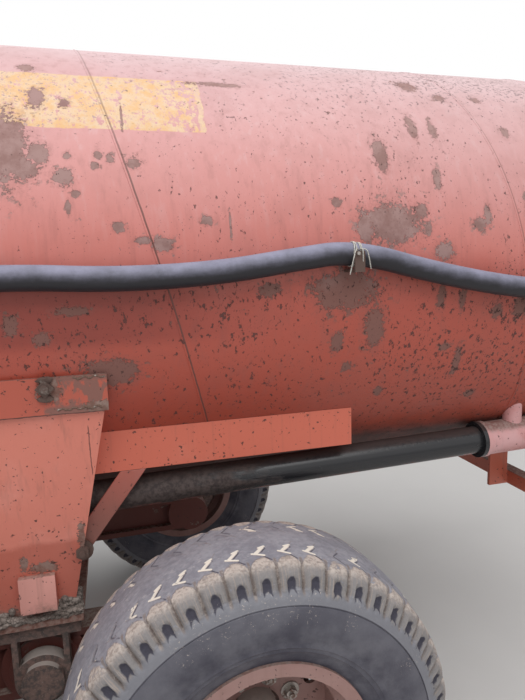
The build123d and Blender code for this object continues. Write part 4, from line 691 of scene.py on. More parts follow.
@dataclass(frozen=True)
class TyreRubber(Finish):
    """Weathered rubber: a scuffed crown, lugs caked with pale mud, and a dark wall.

    The wrap map's U counts lugs round the tyre and its V is the way along the section, in metres.
    """

    shoulder: float
    crown_dark: Colour = (0.185, 0.185, 0.215)
    crown_pale: Colour = (0.275, 0.275, 0.305)
    crown_scuffed: Colour = (0.40, 0.39, 0.40)
    wall_dark: Colour = (0.042, 0.040, 0.058)
    wall_pale: Colour = (0.122, 0.119, 0.140)
    band_grey: Colour = (0.172, 0.171, 0.190)
    mud_dark: Colour = (0.275, 0.232, 0.208)
    mud_pale: Colour = (0.465, 0.405, 0.365)
    mark_pale: Colour = (0.70, 0.65, 0.57)
    leg: Colour = (0.20, 0.188, 0.188)
    gap: Colour = (0.165, 0.130, 0.115)
    pitch: float = 0.0685
    marks: tuple[Stroke, ...] = (
        Stroke(0.021, 0.044, 0.006, 0.049, 0.0036),
        Stroke(0.015, 0.050, -0.007, 0.072, 0.0052),
        Stroke(-0.015, 0.070, 0.013, 0.083, 0.0036),
    )
    faint_marks: tuple[Stroke, ...] = (Stroke(0.040, 0.018, 0.020, 0.044, 0.0014),)
    # Painted shadow: dark outlines beside the marks.
    edges: tuple[Stroke, ...] = (
        Stroke(0.003, 0.077, 0.027, 0.104, 0.0020),
        Stroke(0.022, 0.054, 0.003, 0.075, 0.0020),
    )

    def _strokes(self, bench: Bench, point: Wire, strokes: Sequence[Stroke]) -> Wire:
        """The mask of some marks on the tread.

        Args:
            bench: the material's bench.
            point: the place on the tread, from the middle of its lug.
            strokes: the marks.

        Returns:
            The mask.
        """
        masks = []
        for stroke in strokes:
            start = (stroke.u_start, stroke.v_start, 0.0)
            run = (stroke.u_end - stroke.u_start, stroke.v_end - stroke.v_start, 0.0)
            away = bench.vector("SUBTRACT", point, start)
            share = bench.vector("DOT_PRODUCT", away, run, "Value")
            share = share * (1 / (run[0] ** 2 + run[1] ** 2))
            share = bench.least(bench.most(share, 0.0), 1.0)
            settings = {"operation": "SCALE"}
            reach = bench.add("ShaderNodeVectorMath", settings, {0: run, "Scale": share})
            off = bench.length(bench.vector("SUBTRACT", away, reach))
            masks.append(off.ease(stroke.half + 0.0012, stroke.half - 0.0012))
        return reduce(bench.most, masks)

    def paint(self, bench: Bench) -> None:
        """Paint the crown, the wall, the mud on the lugs, the notches and the tread's marks with
        their painted shadow outlines.
        """
        cloud, lay, blend = bench.cloud, bench.lay, bench.blend
        wrap = bench.add("ShaderNodeUVMap", {"uv_map": "wrap"})
        turn, along, _ = bench.axes(wrap)
        v = abs(along)
        u = bench.math("FRACT", turn + 0.5) - 0.5
        seed = bench.math("FLOOR", turn + 0.5) + along.ease(-0.001, 0.001) * 0.37
        white = {"noise_dimensions": "1D"}
        chance = bench.add("ShaderNodeTexWhiteNoise", white, {"W": seed})
        fine, grit, blot = cloud(34, 6, 0.66), cloud(130, 4, 0.6), cloud(9, 5, 0.6)
        across = cloud(2.4, 5, 0.65, (1.6, 28.0, 0.0), wrap)
        scratch = cloud(2.0, 5, 0.7, (2.0, 90.0, 0.0), wrap)

        bench.colour = self.crown_dark
        lay((across * 0.5 + blot * 0.5).ease(0.38, 0.62), self.crown_pale)
        lay((fine * 0.5 + scratch * 0.5).ease(0.56, 0.62) * 0.5, self.crown_scuffed)
        top = self.shoulder
        wall = blend((blot * 0.8 + fine * 0.2).ease(0.34, 0.68), self.wall_dark, self.wall_pale)
        wall = blend(v.ease(top + 0.11, top + 0.03) * 0.45, wall, self.wall_pale)
        lay(v.ease(top + 0.0155, top + 0.0185), wall)
        lay(v.within(top - 0.014, top + 0.015, 0.004) * 0.85, self.band_grey)

        side = abs(u)
        wander = (fine - 0.5) * 0.040 + (chance - 0.5) * 0.014
        cap = (v + wander - u * u * 0.14).ease(top - 0.113, top - 0.105)
        cap = cap * (v + wander).ease(top - 0.004, top - 0.022)
        legs = (v + wander).ease(top - 0.082, top - 0.052)
        drips = cloud(1.0, 5, 0.65, (16.0, 7.0, 0.0), wrap)
        mud = blend((grit * 0.6 + fine * 0.4).ease(0.38, 0.58), self.mud_dark, self.mud_pale)
        leg = blend(drips.ease(0.50, 0.62), self.leg, self.mud_dark)
        lay(cap * (fine + grit * 0.3).ease(0.42, 0.55), blend(legs * 0.95, mud, leg))
        notch = (side + (fine - 0.5) * 0.1).ease(0.21, 0.15)
        tall = (v - u * u * 0.35 + wander * 0.3).within(top - 0.045, top - 0.018, 0.005)
        lay(notch * tall * 0.95, self.wall_dark)
        parting = (side + (fine - 0.5) * 0.12).ease(0.41, 0.47)
        parting = parting * v.within(top - 0.100, top - 0.010, 0.012)
        filled = (grit * 0.5 + fine * 0.5).ease(0.50, 0.58)
        lay(parting * 0.8, blend(filled, self.gap, self.mud_dark))
        sprinkle = cloud(1.0, 5, 0.75, (7.0, 130.0, 0.0), wrap).ease(0.58, 0.64)
        sprinkle = sprinkle * v.within(top - 0.012, top + 0.058, 0.02) * chance.ease(0.58, 0.66)
        lay(sprinkle * side.ease(0.42, 0.2) * 0.75, self.mud_pale)

        place = {0: u * self.pitch + (fine - 0.5) * 0.006, 1: v}
        point = bench.add("ShaderNodeCombineXYZ", None, place)
        mark = self._strokes(bench, point, self.marks)
        faint = self._strokes(bench, point, self.faint_marks)
        edge = self._strokes(bench, point, self.edges)
        worn = (chance + (fine - 0.5) * 1.6 + (grit - 0.5) * 0.8).ease(0.42, 0.62)
        lay(faint * blot.ease(0.4, 0.6) * 0.55, self.gap)
        # Painted shadow along one side of the marks.
        lay(edge * fine.ease(0.35, 0.5) * 0.8, self.wall_dark)
        lay(mark * (0.12 + worn * 0.84), blend(worn, self.gap, self.mark_pale))

        rough = 0.66 + cap * 0.25 + (fine - 0.5) * 0.1 - v.ease(top + 0.016, top + 0.02) * 0.12
        relief = grit * (0.25 + cap * 0.9) + fine * (0.3 + cap * 0.9) - mark * 0.7 + scratch * 0.3
        bench.coat(rough, relief, 0.0022, specular=0.4)


@dataclass(frozen=True)
class HoseRubber(Finish):
    """Dull black rubber with dust and a painted sheen on its upper side."""

    rubber: Colour = (0.027, 0.026, 0.031)
    # The pale colour of the upper side: dust together with painted sheen from above.
    dust: Colour = (0.255, 0.25, 0.335)
    soil: Colour = (0.33, 0.27, 0.22)

    def paint(self, bench: Bench) -> None:
        """Paint the dust with a painted sheen on the upper side, and the bits of soil on the
        rubber.
        """
        fine, blot = bench.cloud(45, 5, 0.65), bench.cloud(13, 6, 0.68)
        long = bench.cloud(60, 4, 0.6, (0.25, 1.0, 1.0))
        # Paler on the upper side: dust together with painted sheen, and darker below.
        top = (bench.upward + (long - 0.5) * 0.5 + (blot - 0.5) * 0.8).ease(-0.4, 0.95)
        bench.colour = self.rubber
        bench.lay(top * (0.40 + blot * 0.9), self.dust)
        bits = fine.ease(0.69, 0.72) * bench.upward.ease(0.3, 0.7)
        bench.lay(bits, self.soil)
        rough = 0.42 + top * 0.25 + bits * 0.3
        bench.coat(rough, long * 0.5 + bits * 0.8, 0.001, specular=0.3)


@dataclass(frozen=True)
class LampPlastic(Finish):
    """Ribbed lamp lens, dusty."""

    tint: Colour = (0.42, 0.02, 0.012)
    amber: Colour = (0.62, 0.19, 0.02)
    amber_beyond: float = 0.735
    dust: Colour = (0.30, 0.25, 0.22)
    ribs_turn: float = 900.0

    def paint(self, bench: Bench) -> None:
        """Paint the red and amber parts and the dust on them."""
        _, y, z = bench.axes()
        bench.colour = self.tint
        bench.lay(abs(y).ease(self.amber_beyond - 0.001, self.amber_beyond + 0.001), self.amber)
        dusty = bench.cloud(30, 5, 0.65).ease(0.45, 0.75) * 0.5
        bench.lay(dusty, self.dust)
        bench.coat(0.18 + dusty * 0.6, bench.math("SINE", z * self.ribs_turn), 0.0006)


@dataclass(frozen=True)
class DriedMud(Finish):
    """Cracked grey-brown mud."""

    dark: Colour = (0.16, 0.128, 0.110)
    pale: Colour = (0.31, 0.262, 0.232)
    cell: float = 85.0

    def paint(self, bench: Bench) -> None:
        """Paint the mottled mud and its cracks."""
        fine = bench.cloud(55, 6, 0.7)
        cells = {"Vector": bench.place, "Scale": self.cell}
        crack = bench.add("ShaderNodeTexVoronoi", {"feature": "DISTANCE_TO_EDGE"}, cells)
        crack = crack.ease(0.0, 0.10)
        bench.colour = self.dark
        bench.lay(fine.ease(0.35, 0.65), self.pale)
        bench.lay(1 - crack, self.dark)
        bench.coat(0.92, fine + crack * 0.7, 0.0018)


@dataclass(frozen=True)
class Twine(Finish):
    """Pale weathered baler twine."""

    pale: Colour = (0.62, 0.60, 0.55)
    grey: Colour = (0.34, 0.32, 0.29)

    def paint(self, bench: Bench) -> None:
        """Paint the fibres."""
        fine = bench.cloud(320, 3, 0.6)
        bench.colour = self.pale
        bench.lay(fine.ease(0.4, 0.6), self.grey)
        bench.coat(0.85, fine, 0.0008)


@dataclass(frozen=True)
class FloorPaint(Finish):
    """The floor's pale grey, a little uneven."""

    grey: Colour = (0.585, 0.57, 0.555)
    paler: Colour = (0.6201, 0.6042, 0.5883)

    def paint(self, bench: Bench) -> None:
        """Paint the unevenness."""
        bench.colour = self.grey
        bench.lay(bench.cloud(3, 4, 0.6), self.paler)
        bench.coat(0.9)


def new_object(name: str, data: bpy.types.ID) -> Object:
    """Put a new object into the scene, at the origin."""
    made = bpy.data.objects.new(name, data)
    bpy.context.scene.collection.objects.link(made)
    return made


def settle(
    name: str,
    shape: Shape,
    coat: Material,
    body: str = "chassis",
    slot: str = "bare_steel",
    crease: float = 30.0,
) -> Object:
    """Turn a finished shape into a piece that rides on a body.

    Args:
        name: the piece's name.
        shape: its shape, which is freed.
        coat: its material.
        body: the body that it moves with.
        slot: the record's material slot; not used.
        crease: the angle in degrees above which an edge stays sharp.

    Returns:
        The piece.
    """
    bmesh.ops.recalc_face_normals(shape, faces=shape.faces)
    mesh = bpy.data.meshes.new(name)
    shape.to_mesh(mesh)
    shape.free()
    mesh.polygons.foreach_set("use_smooth", [True] * len(mesh.polygons))
    mesh.set_sharp_from_angle(angle=math.radians(crease))
    mesh.materials.append(coat)
    piece = new_object(name, mesh)
    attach(piece, body)
    log.info("%s: %d faces on %s", name, len(mesh.polygons), body)
    return piece


def add_pin(
    shape: Shape,
    start: Vector,
    end: Vector,
    radius: float,
    sides: int = 12,
    tip: float | None = None,
) -> None:
    """Add a closed round bar.

    Args:
        shape: what it is added to.
        start: one end's middle.
        end: the other end's middle.
        radius: its radius at the start.
        sides: how many sides it has.
        tip: its radius at the end, if that differs.
    """
    run = end - start
    turn = run.to_track_quat("Z", "Y").to_matrix().to_4x4()
    bmesh.ops.create_cone(
        shape,
        cap_ends=True,
        cap_tris=False,
        segments=sides,
        radius1=radius,
        radius2=radius if tip is None else tip,
        depth=run.length,
        matrix=Matrix.Translation((start + end) / 2) @ turn,
    )


def add_bolt(shape: Shape, foot: Vector, out: Vector, across: float) -> None:
    """Add a washer, a six-sided nut and its stud's end.

    Args:
        shape: what they are added to.
        foot: where the stud leaves the surface.
        out: the way that the stud points, one metre long.
        across: the nut's width over its flats.
    """
    add_pin(shape, foot - out * 0.002, foot + out * across * 0.14, across * 0.92, 16)
    add_pin(shape, foot, foot + out * across * 0.72, across / math.sqrt(3), 6)
    add_pin(shape, foot, foot + out * across * 0.95, across * 0.31, 10, across * 0.27)


def add_lump(
    shape: Shape, middle: Vector, size: Vector, rng: random.Random, fineness: int = 2
) -> None:
    """Add a rough lump.

    Args:
        shape: what it is added to.
        middle: its middle.
        size: its half sizes.
        rng: where its roughness comes from.
        fineness: how often its ball is divided.
    """
    place = Matrix.Translation(middle) @ Matrix.Diagonal((*size, 1.0))
    made = bmesh.ops.create_icosphere(shape, subdivisions=fineness, radius=1.0, matrix=place)
    for vertex in made["verts"]:
        vertex.co = middle + (vertex.co - middle) * rng.uniform(0.82, 1.14)


def bolt_ways(count: int, first: Vector, second: Vector) -> list[Vector]:
    """The ways from a bolt circle's middle to its bolts, each one metre long.

    Args:
        count: how many bolts there are.
        first: one axis of its plane.
        second: the other axis, which lies midway between two bolts.

    Returns:
        The ways.
    """
    angles = [FULL_TURN * (index + 0.5) / count for index in range(count)]
    return [first * math.sin(angle) + second * math.cos(angle) for angle in angles]


def soften(node: str, coat: Material, slot: str, width: float) -> None:
    """Put a copy of a solid of the chassis with rounded edges in its place.

    Args:
        node: the solid's name.
        coat: its material.
        slot: the record's material slot.
        width: the rounding's width in metres.
    """
    shape = bmesh.new()
    shape.from_mesh(frame["nodes"][node].data)
    bmesh.ops.remove_doubles(shape, verts=shape.verts, dist=SAME_PLACE)
    bmesh.ops.dissolve_limit(
        shape,
        angle_limit=FLAT_BELOW,
        verts=shape.verts,
        edges=shape.edges,
        use_dissolve_boundaries=False,
    )
    piece = settle(f"{node}.plate", shape, coat, slot=slot)
    bevel = piece.modifiers.new("rounded edges", "BEVEL")
    bevel.width = width
    bevel.segments = 2
    bevel.limit_method = "ANGLE"
    bevel.angle_limit = ROUNDED_ABOVE
    bevel.harden_normals = True
    bevel.use_clamp_overlap = True
    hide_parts(node)


@dataclass
class Studio:
    """The pale floor, the soft light and the camera at the photograph's place."""

    camera_place: Point = (1.2647, -2.2713, 1.7894)
    camera_right: Point = (0.96489, -0.26112, -0.02837)
    camera_up: Point = (0.06609, 0.13682, 0.98839)
    focal_pixels: float = 552.45
    sensor: float = 36.0
    sight: float = 200.0
    floor_half: float = 60.0
    sky_tint: Colour = (0.97, 0.985, 1.0)
    sky_strength: float = 0.62
    lamp_place: Point = (0.6, -3.2, 8.0)
    lamp_aim: Point = (0.6, 0.0, 1.2)
    lamp_size: float = 9.0
    lamp_power: float = 620.0

    def place_camera(self) -> None:
        """Make the camera that took the photograph."""
        data = bpy.data.cameras.new("camera")
        data.sensor_width = self.sensor
        data.lens = self.focal_pixels / max(PHOTO_PIXELS) * self.sensor
        data.clip_end = self.sight
        right = Vector(self.camera_right).normalized()
        up = Vector(self.camera_up)
        up = (up - right * up.dot(right)).normalized()
        turn = Matrix((right, up, right.cross(up))).transposed()
        camera = new_object("camera", data)
        camera.matrix_world = Matrix.Translation(self.camera_place) @ turn.to_4x4()
        bpy.context.scene.camera = camera

    def lay_floor(self) -> None:
        """Make the floor."""
        shape = bmesh.new()
        bmesh.ops.create_grid(shape, x_segments=1, y_segments=1, size=self.floor_half)
        mesh = bpy.data.meshes.new("floor")
        shape.to_mesh(mesh)
        shape.free()
        mesh.materials.append(FloorPaint("pale floor").make())
        new_object("floor", mesh)

    def light(self) -> None:
        """Set the even sky and the one large lamp, and show the sky as white."""
        bpy.context.scene.view_settings.view_transform = "Standard"
        world = bpy.data.worlds.new("overcast sky")
        bpy.context.scene.world = world
        world.use_nodes = True
        bench = Bench(world.node_tree)
        rays = bench.add("ShaderNodeLightPath").socket.node.outputs
        kinds = ("Camera", "Glossy", "Transmission")
        seen = reduce(bench.most, [Wire(bench, rays[f"Is {kind} Ray"]) for kind in kinds])
        skies = [
            bench.add("ShaderNodeBackground", None, {"Color": (*tint, 1.0), "Strength": strength})
            for tint, strength in ((self.sky_tint, self.sky_strength), ((1.0, 1.0, 1.0), 1.0))
        ]
        sky = bench.add("ShaderNodeMixShader", None, {0: seen, 1: skies[0], 2: skies[1]})
        bench.add("ShaderNodeOutputWorld", None, {"Surface": sky})
        lamp = bpy.data.lights.new("soft lamp", "AREA")
        lamp.size = self.lamp_size
        lamp.energy = self.lamp_power
        holder = new_object("soft lamp", lamp)
        holder.location = self.lamp_place
        aim = Vector(self.lamp_aim) - Vector(self.lamp_place)
        holder.rotation_euler = aim.to_track_quat("-Z", "Y").to_euler()

    def build(self) -> None:
        """Set the whole studio."""
        self.place_camera()
        self.lay_floor()
        self.light()


def new_cord(name: str, courses: Sequence[Sequence[Point]], resolution: int = 12) -> Object:
    """Lay smooth lines that have no thickness yet.

    Args:
        name: the object's name.
        courses: the control points of each line.
        resolution: the steps between two of them.

    Returns:
        The curve object.
    """
    data = bpy.data.curves.new(name, "CURVE")
    data.dimensions = "3D"
    data.resolution_u = resolution
    for course in courses:
        spline = data.splines.new("NURBS")
        spline.points.add(len(course) - 1)
        for point, place in zip(spline.points, course):
            point.co = (*place, 1.0)
        spline.order_u = 3
        spline.use_endpoint_u = True
    return new_object(name, data)


def thicken(cord: Object, radius: float, resolution: int, coat: Material) -> None:
    """Give a cord its round section and its finish.

    Args:
        cord: the curve object.
        radius: the section's radius.
        resolution: the section's steps in a quarter.
        coat: its material.
    """
    cord.data.bevel_depth = radius
    cord.data.bevel_resolution = resolution
    cord.data.use_fill_caps = True
    cord.data.materials.append(coat)


@dataclass
class StowedHose:
    """The suction hose on its hooks, with the twine that ties it to one of them."""

    radius: float = 0.0325
    length: float = 4.625
    route: tuple[Point, ...] = (
        (-1.578, -0.834, 1.760),
        (-1.268, -0.8117, 1.7868),
        (-0.718, -0.816, 1.759),
        (-0.168, -0.815, 1.7965),
        (0.422, -0.816, 1.766),
        (1.002, -0.815, 1.783),
        (1.272, -0.815, 1.766),
        (1.542, -0.815, 1.776),
        (1.742, -0.815, 1.804),
        (1.927, -0.815, 1.827),
        (2.197, -0.815, 1.754),
        (2.502, -0.815, 1.698),
        (2.782, -0.815, 1.6803),
        (3.032, -0.815, 1.708),
    )
    tie_x: float = 1.927
    twine_radius: float = 0.0016
    turns: int = 5
    steps: int = 14
    loose_ends: tuple[Spot, ...] = ((-0.020, 0.070), (0.022, 0.050), (0.006, 0.036))

    def _tie(self, line: Sequence[Vector], coat: Material) -> Object:
        """Wind the twine round the hose and its hook, with its loose ends.

        Args:
            line: points along the hose's middle.
            coat: the twine's material.

        Returns:
            The tie.
        """
        near = min(range(1, len(line) - 1), key=lambda i: abs(line[i].x - self.tie_x))
        middle = line[near]
        way = (line[near + 1] - line[near - 1]).normalized()
        out = way.cross(Z).normalized()
        up = out.cross(way)
        rng = random.Random(5)
        reach = self.radius + self.twine_radius
        last = self.turns * self.steps
        winding = []
        for index in range(last + 1):
            angle = FULL_TURN * index / self.steps
            drift = (index / last - 0.5) * 0.03 + math.sin(angle * 0.4) * 0.006
            spread = reach + rng.uniform(0.0, 0.0015)
            arm = out * math.cos(angle) * spread + up * math.sin(angle) * spread
            winding.append(middle + way * drift + arm)
        courses = [winding]
        for lean, drop in self.loose_ends:
            start = middle + out * reach + way * lean * 0.2 + up * 0.012
            course = [
                start,
                start + out * 0.012 + way * lean * 0.5 + Z * 0.008,
                start + out * 0.010 + way * lean - Z * drop * 0.5,
                start + out * 0.004 + way * lean * 1.3 - Z * drop,
            ]
            courses.append(course)
        tie = new_cord("hose.twine", courses)
        thicken(tie, self.twine_radius, 2, coat)
        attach(tie, "chassis")
        return tie

    def build(self, rubber: Material, twine: Material) -> None:
        """Lay and tie the hose.

        Args:
            rubber: the hose's material.
            twine: the twine's material.
        """
        hose = new_cord("hose.rubber", [self.route], 24)
        bare = bpy.data.meshes.new_from_object(hose)
        line = [vertex.co.copy() for vertex in bare.vertices]
        bpy.data.meshes.remove(bare)
        thicken(hose, self.radius, 8, rubber)
        tie = self._tie(line, twine)
        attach(hose, "chassis")
        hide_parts("suction_hose")
        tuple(self.route[0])
        log.info("hose: %.3f m on four hooks", self.length)


@dataclass
class Tank:
    """The welds round the tank's shell."""

    radius: float = 0.78
    axis_z: float = 1.768
    joint_xs: Spot = (-1.868, 2.852)
    seams: tuple[Seam, ...] = (
        Seam(-1.015, 2.243, 0.27),
        Seam(0.125, 2.243, 0.27),
        Seam(1.265, 2.243, 0.27),
        Seam(2.443, 2.243, 0.2),
    )
    bead_half_width: float = 0.0036
    bead_height: float = 0.0017
    steps: int = 180

    def _ring(self, shape: Shape, seam: Seam) -> None:
        """Add one weld bead round the shell.

        Args:
            shape: what it is added to.
            seam: where the weld runs.
        """
        place = (
            Matrix.Translation((seam.x, 0.0, self.axis_z + self.radius))
            @ Matrix.Diagonal((self.bead_half_width, 1.0, self.bead_height, 1.0))
            @ Matrix.Rotation(math.radians(90), 4, "X")
        )
        circle = bmesh.ops.create_circle(shape, segments=8, radius=1.0, matrix=place)["verts"]
        before = set(shape.verts) - set(circle)
        edges = list({edge for vertex in circle for edge in vertex.link_edges})
        bmesh.ops.spin(
            shape,
            geom=circle + edges,
            cent=(0.0, 0.0, self.axis_z),
            axis=(1.0, 0.0, 0.0),
            angle=FULL_TURN,
            steps=self.steps,
            use_merge=True,
        )
        for vertex in set(shape.verts) - before:
            vertex.co.x -= (vertex.co.z - seam.z) * seam.lean

    def build(self, paint: Material) -> None:
        """Build the welds.

        Args:
            paint: the tank's paint.
        """
        shape = bmesh.new()
        for seam in (*self.seams, *(Seam(x, self.axis_z, 0.0) for x in self.joint_xs)):
            self._ring(shape, seam)
        settle("tank.welds", shape, paint, slot="red_paint", crease=38.0)


def eased(value: np.ndarray, start: float, end: float) -> np.ndarray:
    """A smooth rise from 0 at start to 1 at end, which may be the smaller."""
    share = np.clip((value - start) / (end - start), 0.0, 1.0)
    return share * share * (3 - 2 * share)


@dataclass
class Wheel:
    """One wheel: a tyre modelled lug by lug, and the nuts on its disc."""

    end: End
    side: Side
    radius: float = 0.535
    half_base: float = 0.596
    pivot_x: float = 0.982
    half_track: float = 0.919
    lugs: int = 48
    steps_per_lug: int = 12
    crown_drop: float = 0.012
    crown_half: float = 0.133
    crown_steps: int = 14
    shoulder_steps: int = 14
    tread_half: float = 0.112
    shoulder_bend: Spot = (0.149, 0.5235)
    wall_knots: tuple[Spot, ...] = ((0.171, 0.461), (0.183, 0.400), (0.1495, 0.2773))
    # Every radius at which the wall has a ring of corners, from its top to the bead
    wall_radii: tuple[float, ...] = (
        *(0.4535, 0.447, 0.4432, 0.4418, 0.4402, 0.4388, 0.43, 0.4145, 0.399, 0.3835),
        *(0.368, 0.3525, 0.333, 0.331, 0.329, 0.320, 0.318, 0.316, 0.305, 0.291),
    )
    groove_radii: Spot = (0.4418, 0.4402)
    groove_depth: float = 0.0028
    ring_radii: Spot = (0.331, 0.318)
    ring_height: float = 0.0014
    seat_radius: float = 0.2513
    section_middle: Spot = (0.0, 0.36)
    # How far above the wall, along the section, the lugs and their notches begin and end
    lug_rise: Spot = (0.096, 0.062)
    lug_fall: Spot = (0.002, 0.018)
    notch_rise: Spot = (0.049, 0.042)
    notch_fall: Spot = (0.010, 0.017)
    gap_half: float = 0.08
    gap_depth: float = 0.011
    rounding_depth: float = 0.004
    notch_half: float = 0.18
    notch_depth: float = 0.009
    nuts: int = 8
    nut_circle: float = 0.1125
    nut_across: float = 0.030
    disc_face: float = -0.020

    @property
    def name(self) -> str:
        """The wheel's place in words."""
        return f"{self.end.word}_{self.side.word}"

    @property
    def centre(self) -> Vector:
        """The wheel's middle."""
        x = self.pivot_x + self.end.value * self.half_base
        return Vector((x, self.side.value * self.half_track, self.radius))

    @property
    def shoulder_along(self) -> float:
        """The way along the outline at which the wall begins."""
        return self.half_section()[self.crown_steps + self.shoulder_steps][2]

    def _crown(self, across: float) -> Spot:
        """The crown's place and radius at a distance from its middle."""
        return across, self.radius - self.crown_drop * (across / self.crown_half) ** 1.5

    def _wall(self, radius: float) -> float:
        """How far out the wall stands at a radius, on a smooth curve through its knots."""
        total = 0.0
        for across, knot in self.wall_knots:
            for _, other in self.wall_knots:
                if other != knot:
                    across *= (radius - other) / (knot - other)
            total += across
        return total

    def half_section(self) -> list[tuple[float, float, float]]:
        """Half of the tyre's outline.

        Returns:
            Across, radius and the way along from the crown's middle, from there to the bead.
        """
        steps = range(self.crown_steps)
        points = [self._crown(self.tread_half * step / self.crown_steps) for step in steps]
        corners = (self._crown(self.tread_half), self.shoulder_bend, self.wall_knots[0])
        for step in range(self.shoulder_steps + 1):
            share = step / self.shoulder_steps
            weights = ((1 - share) ** 2, 2 * share * (1 - share), share**2)
            points.append(tuple(sum(w * c[i] for w, c in zip(weights, corners)) for i in (0, 1)))
        for radius in self.wall_radii:
            across = self._wall(radius)
            across -= self.groove_depth if radius in self.groove_radii else 0.0
            across += self.ring_height if radius in self.ring_radii else 0.0
            points.append((across, radius))
        points.append(self.wall_knots[-1])
        along = 0.0
        outline = [(*points[0], 0.0)]
        for before, here in zip(points, points[1:]):
            along += math.dist(before, here)
            outline.append((*here, along))
        return outline

    def _carve(self, along: np.ndarray, turn: np.ndarray) -> np.ndarray:
        """How deep the lugs' gaps and notches are.

        Args:
            along: the way along the outline at each vertex, without its sign.
            turn: the place round the tyre at each vertex, in lugs.

        Returns:
            The depth at each vertex, in metres.
        """

        def between(rise: Spot, fall: Spot) -> np.ndarray:
            """A mask from rise to fall, both measured back from the wall."""
            above = self.shoulder_along - along
            return eased(above, *rise) * eased(above, *fall)

        off = np.abs(turn - np.round(turn))
        inside = between(self.lug_rise, self.lug_fall)
        gap = eased(off, 0.5 - self.gap_half - 0.05, 0.5 - self.gap_half + 0.05)
        rounding = np.clip(off / 0.42, 0.0, 1.0) ** 3
        depth = (self.gap_depth * gap + self.rounding_depth * rounding) * inside
        notch = eased(off, self.notch_half + 0.05, self.notch_half - 0.03)
        return depth + self.notch_depth * between(self.notch_rise, self.notch_fall) * notch

    def _tyre_shape(self) -> Shape:
        """The tyre of the left side about the origin.

        Returns:
            The tyre's shape, with its wrap map.
        """
        half = self.half_section()
        loop = [(-a, r, -s) for a, r, s in reversed(half[1:])] + half
        shape = bmesh.new()
        bead = self.wall_knots[-1][0]
        corners = [(a, r) for a, r, _ in loop]
        corners += [(bead, self.seat_radius), (-bead, self.seat_radius)]
        ring = [shape.verts.new((0.0, -across, radius)) for across, radius in corners]
        edges = [shape.edges.new(pair) for pair in zip(ring, ring[1:] + ring[:1])]
        bmesh.ops.spin(
            shape,
            geom=ring + edges,
            cent=(0.0, 0.0, 0.0),
            axis=(0.0, 1.0, 0.0),
            angle=FULL_TURN,
            steps=self.lugs * self.steps_per_lug,
            use_merge=True,
        )
        outline = np.array(loop)
        spots = np.array([vertex.co for vertex in shape.verts])
        across = -spots[:, 1]
        radius = np.hypot(spots[:, 0], spots[:, 2])
        turn = np.arctan2(spots[:, 0], spots[:, 2]) / FULL_TURN * self.lugs
        gaps = (across[:, None] - outline[:, 0]) ** 2 + (radius[:, None] - outline[:, 1]) ** 2
        near = gaps.argmin(axis=1)
        along = outline[near, 2]
        slopes = np.gradient(outline[:, :2], axis=0)
        slopes /= np.linalg.norm(slopes, axis=1)[:, None]
        outward = np.stack([-slopes[:, 1], slopes[:, 0]], axis=1)
        from_middle = outline[:, :2] - self.section_middle
        outward *= np.sign((outward * from_middle).sum(axis=1))[:, None]
        depth = self._carve(np.abs(along), turn)
        depth[radius < self.seat_radius + 0.01] = 0.0
        across = across - outward[near, 0] * depth
        scale = (radius - outward[near, 1] * depth) / radius
        wrap = shape.loops.layers.uv.new("wrap")
        shape.verts.ensure_lookup_table()
        shape.verts.index_update()
        for vertex, a, s in zip(shape.verts, across, scale):
            vertex.co = (vertex.co.x * s, -a, vertex.co.z * s)
        for face in shape.faces:
            rounds = [turn[corner.vert.index] for corner in face.loops]
            highest = max(rounds)
            for corner, value in zip(face.loops, rounds):
                if highest - value > self.lugs / 2:
                    value += self.lugs
                corner[wrap].uv = (value, along[corner.vert.index])
        return shape

    def build_tyre(self, rubber: Material, pattern: bpy.types.Mesh | None) -> bpy.types.Mesh:
        """Build the tyre, from another wheel's where there is one.

        Args:
            rubber: the tyre's material.
            pattern: the mesh of a tyre about the origin.

        Returns:
            The mesh of a tyre about the origin.
        """
        if pattern is None:
            shape = self._tyre_shape()
            bmesh.ops.recalc_face_normals(shape, faces=shape.faces)
            pattern = bpy.data.meshes.new("tyre pattern")
            shape.to_mesh(pattern)
        else:
            shape = bmesh.new()
            shape.from_mesh(pattern)
        turn = Matrix.Rotation(math.pi if self.side is Side.RIGHT else 0.0, 4, "Z")
        place = Matrix.Translation(self.centre) @ turn
        bmesh.ops.transform(shape, matrix=place, verts=shape.verts)
        body = f"wheel_{self.name}"
        tyre = settle(f"tyre.{self.name}", shape, rubber, body, "tyre_rubber", 50.0)
        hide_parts(f"tyre_{self.name}")
        return pattern

    def build_nuts(self, steel: Material) -> None:
        """Build the wheel nuts.

        Args:
            steel: the nuts' material.
        """
        shape = bmesh.new()
        out = Y * self.side.value
        face = self.centre + out * self.disc_face
        for way in bolt_ways(self.nuts, X, Z):
            add_bolt(shape, face + way * self.nut_circle, out, self.nut_across)
        settle(f"wheel_nuts.{self.name}", shape, steel, f"wheel_{self.name}")


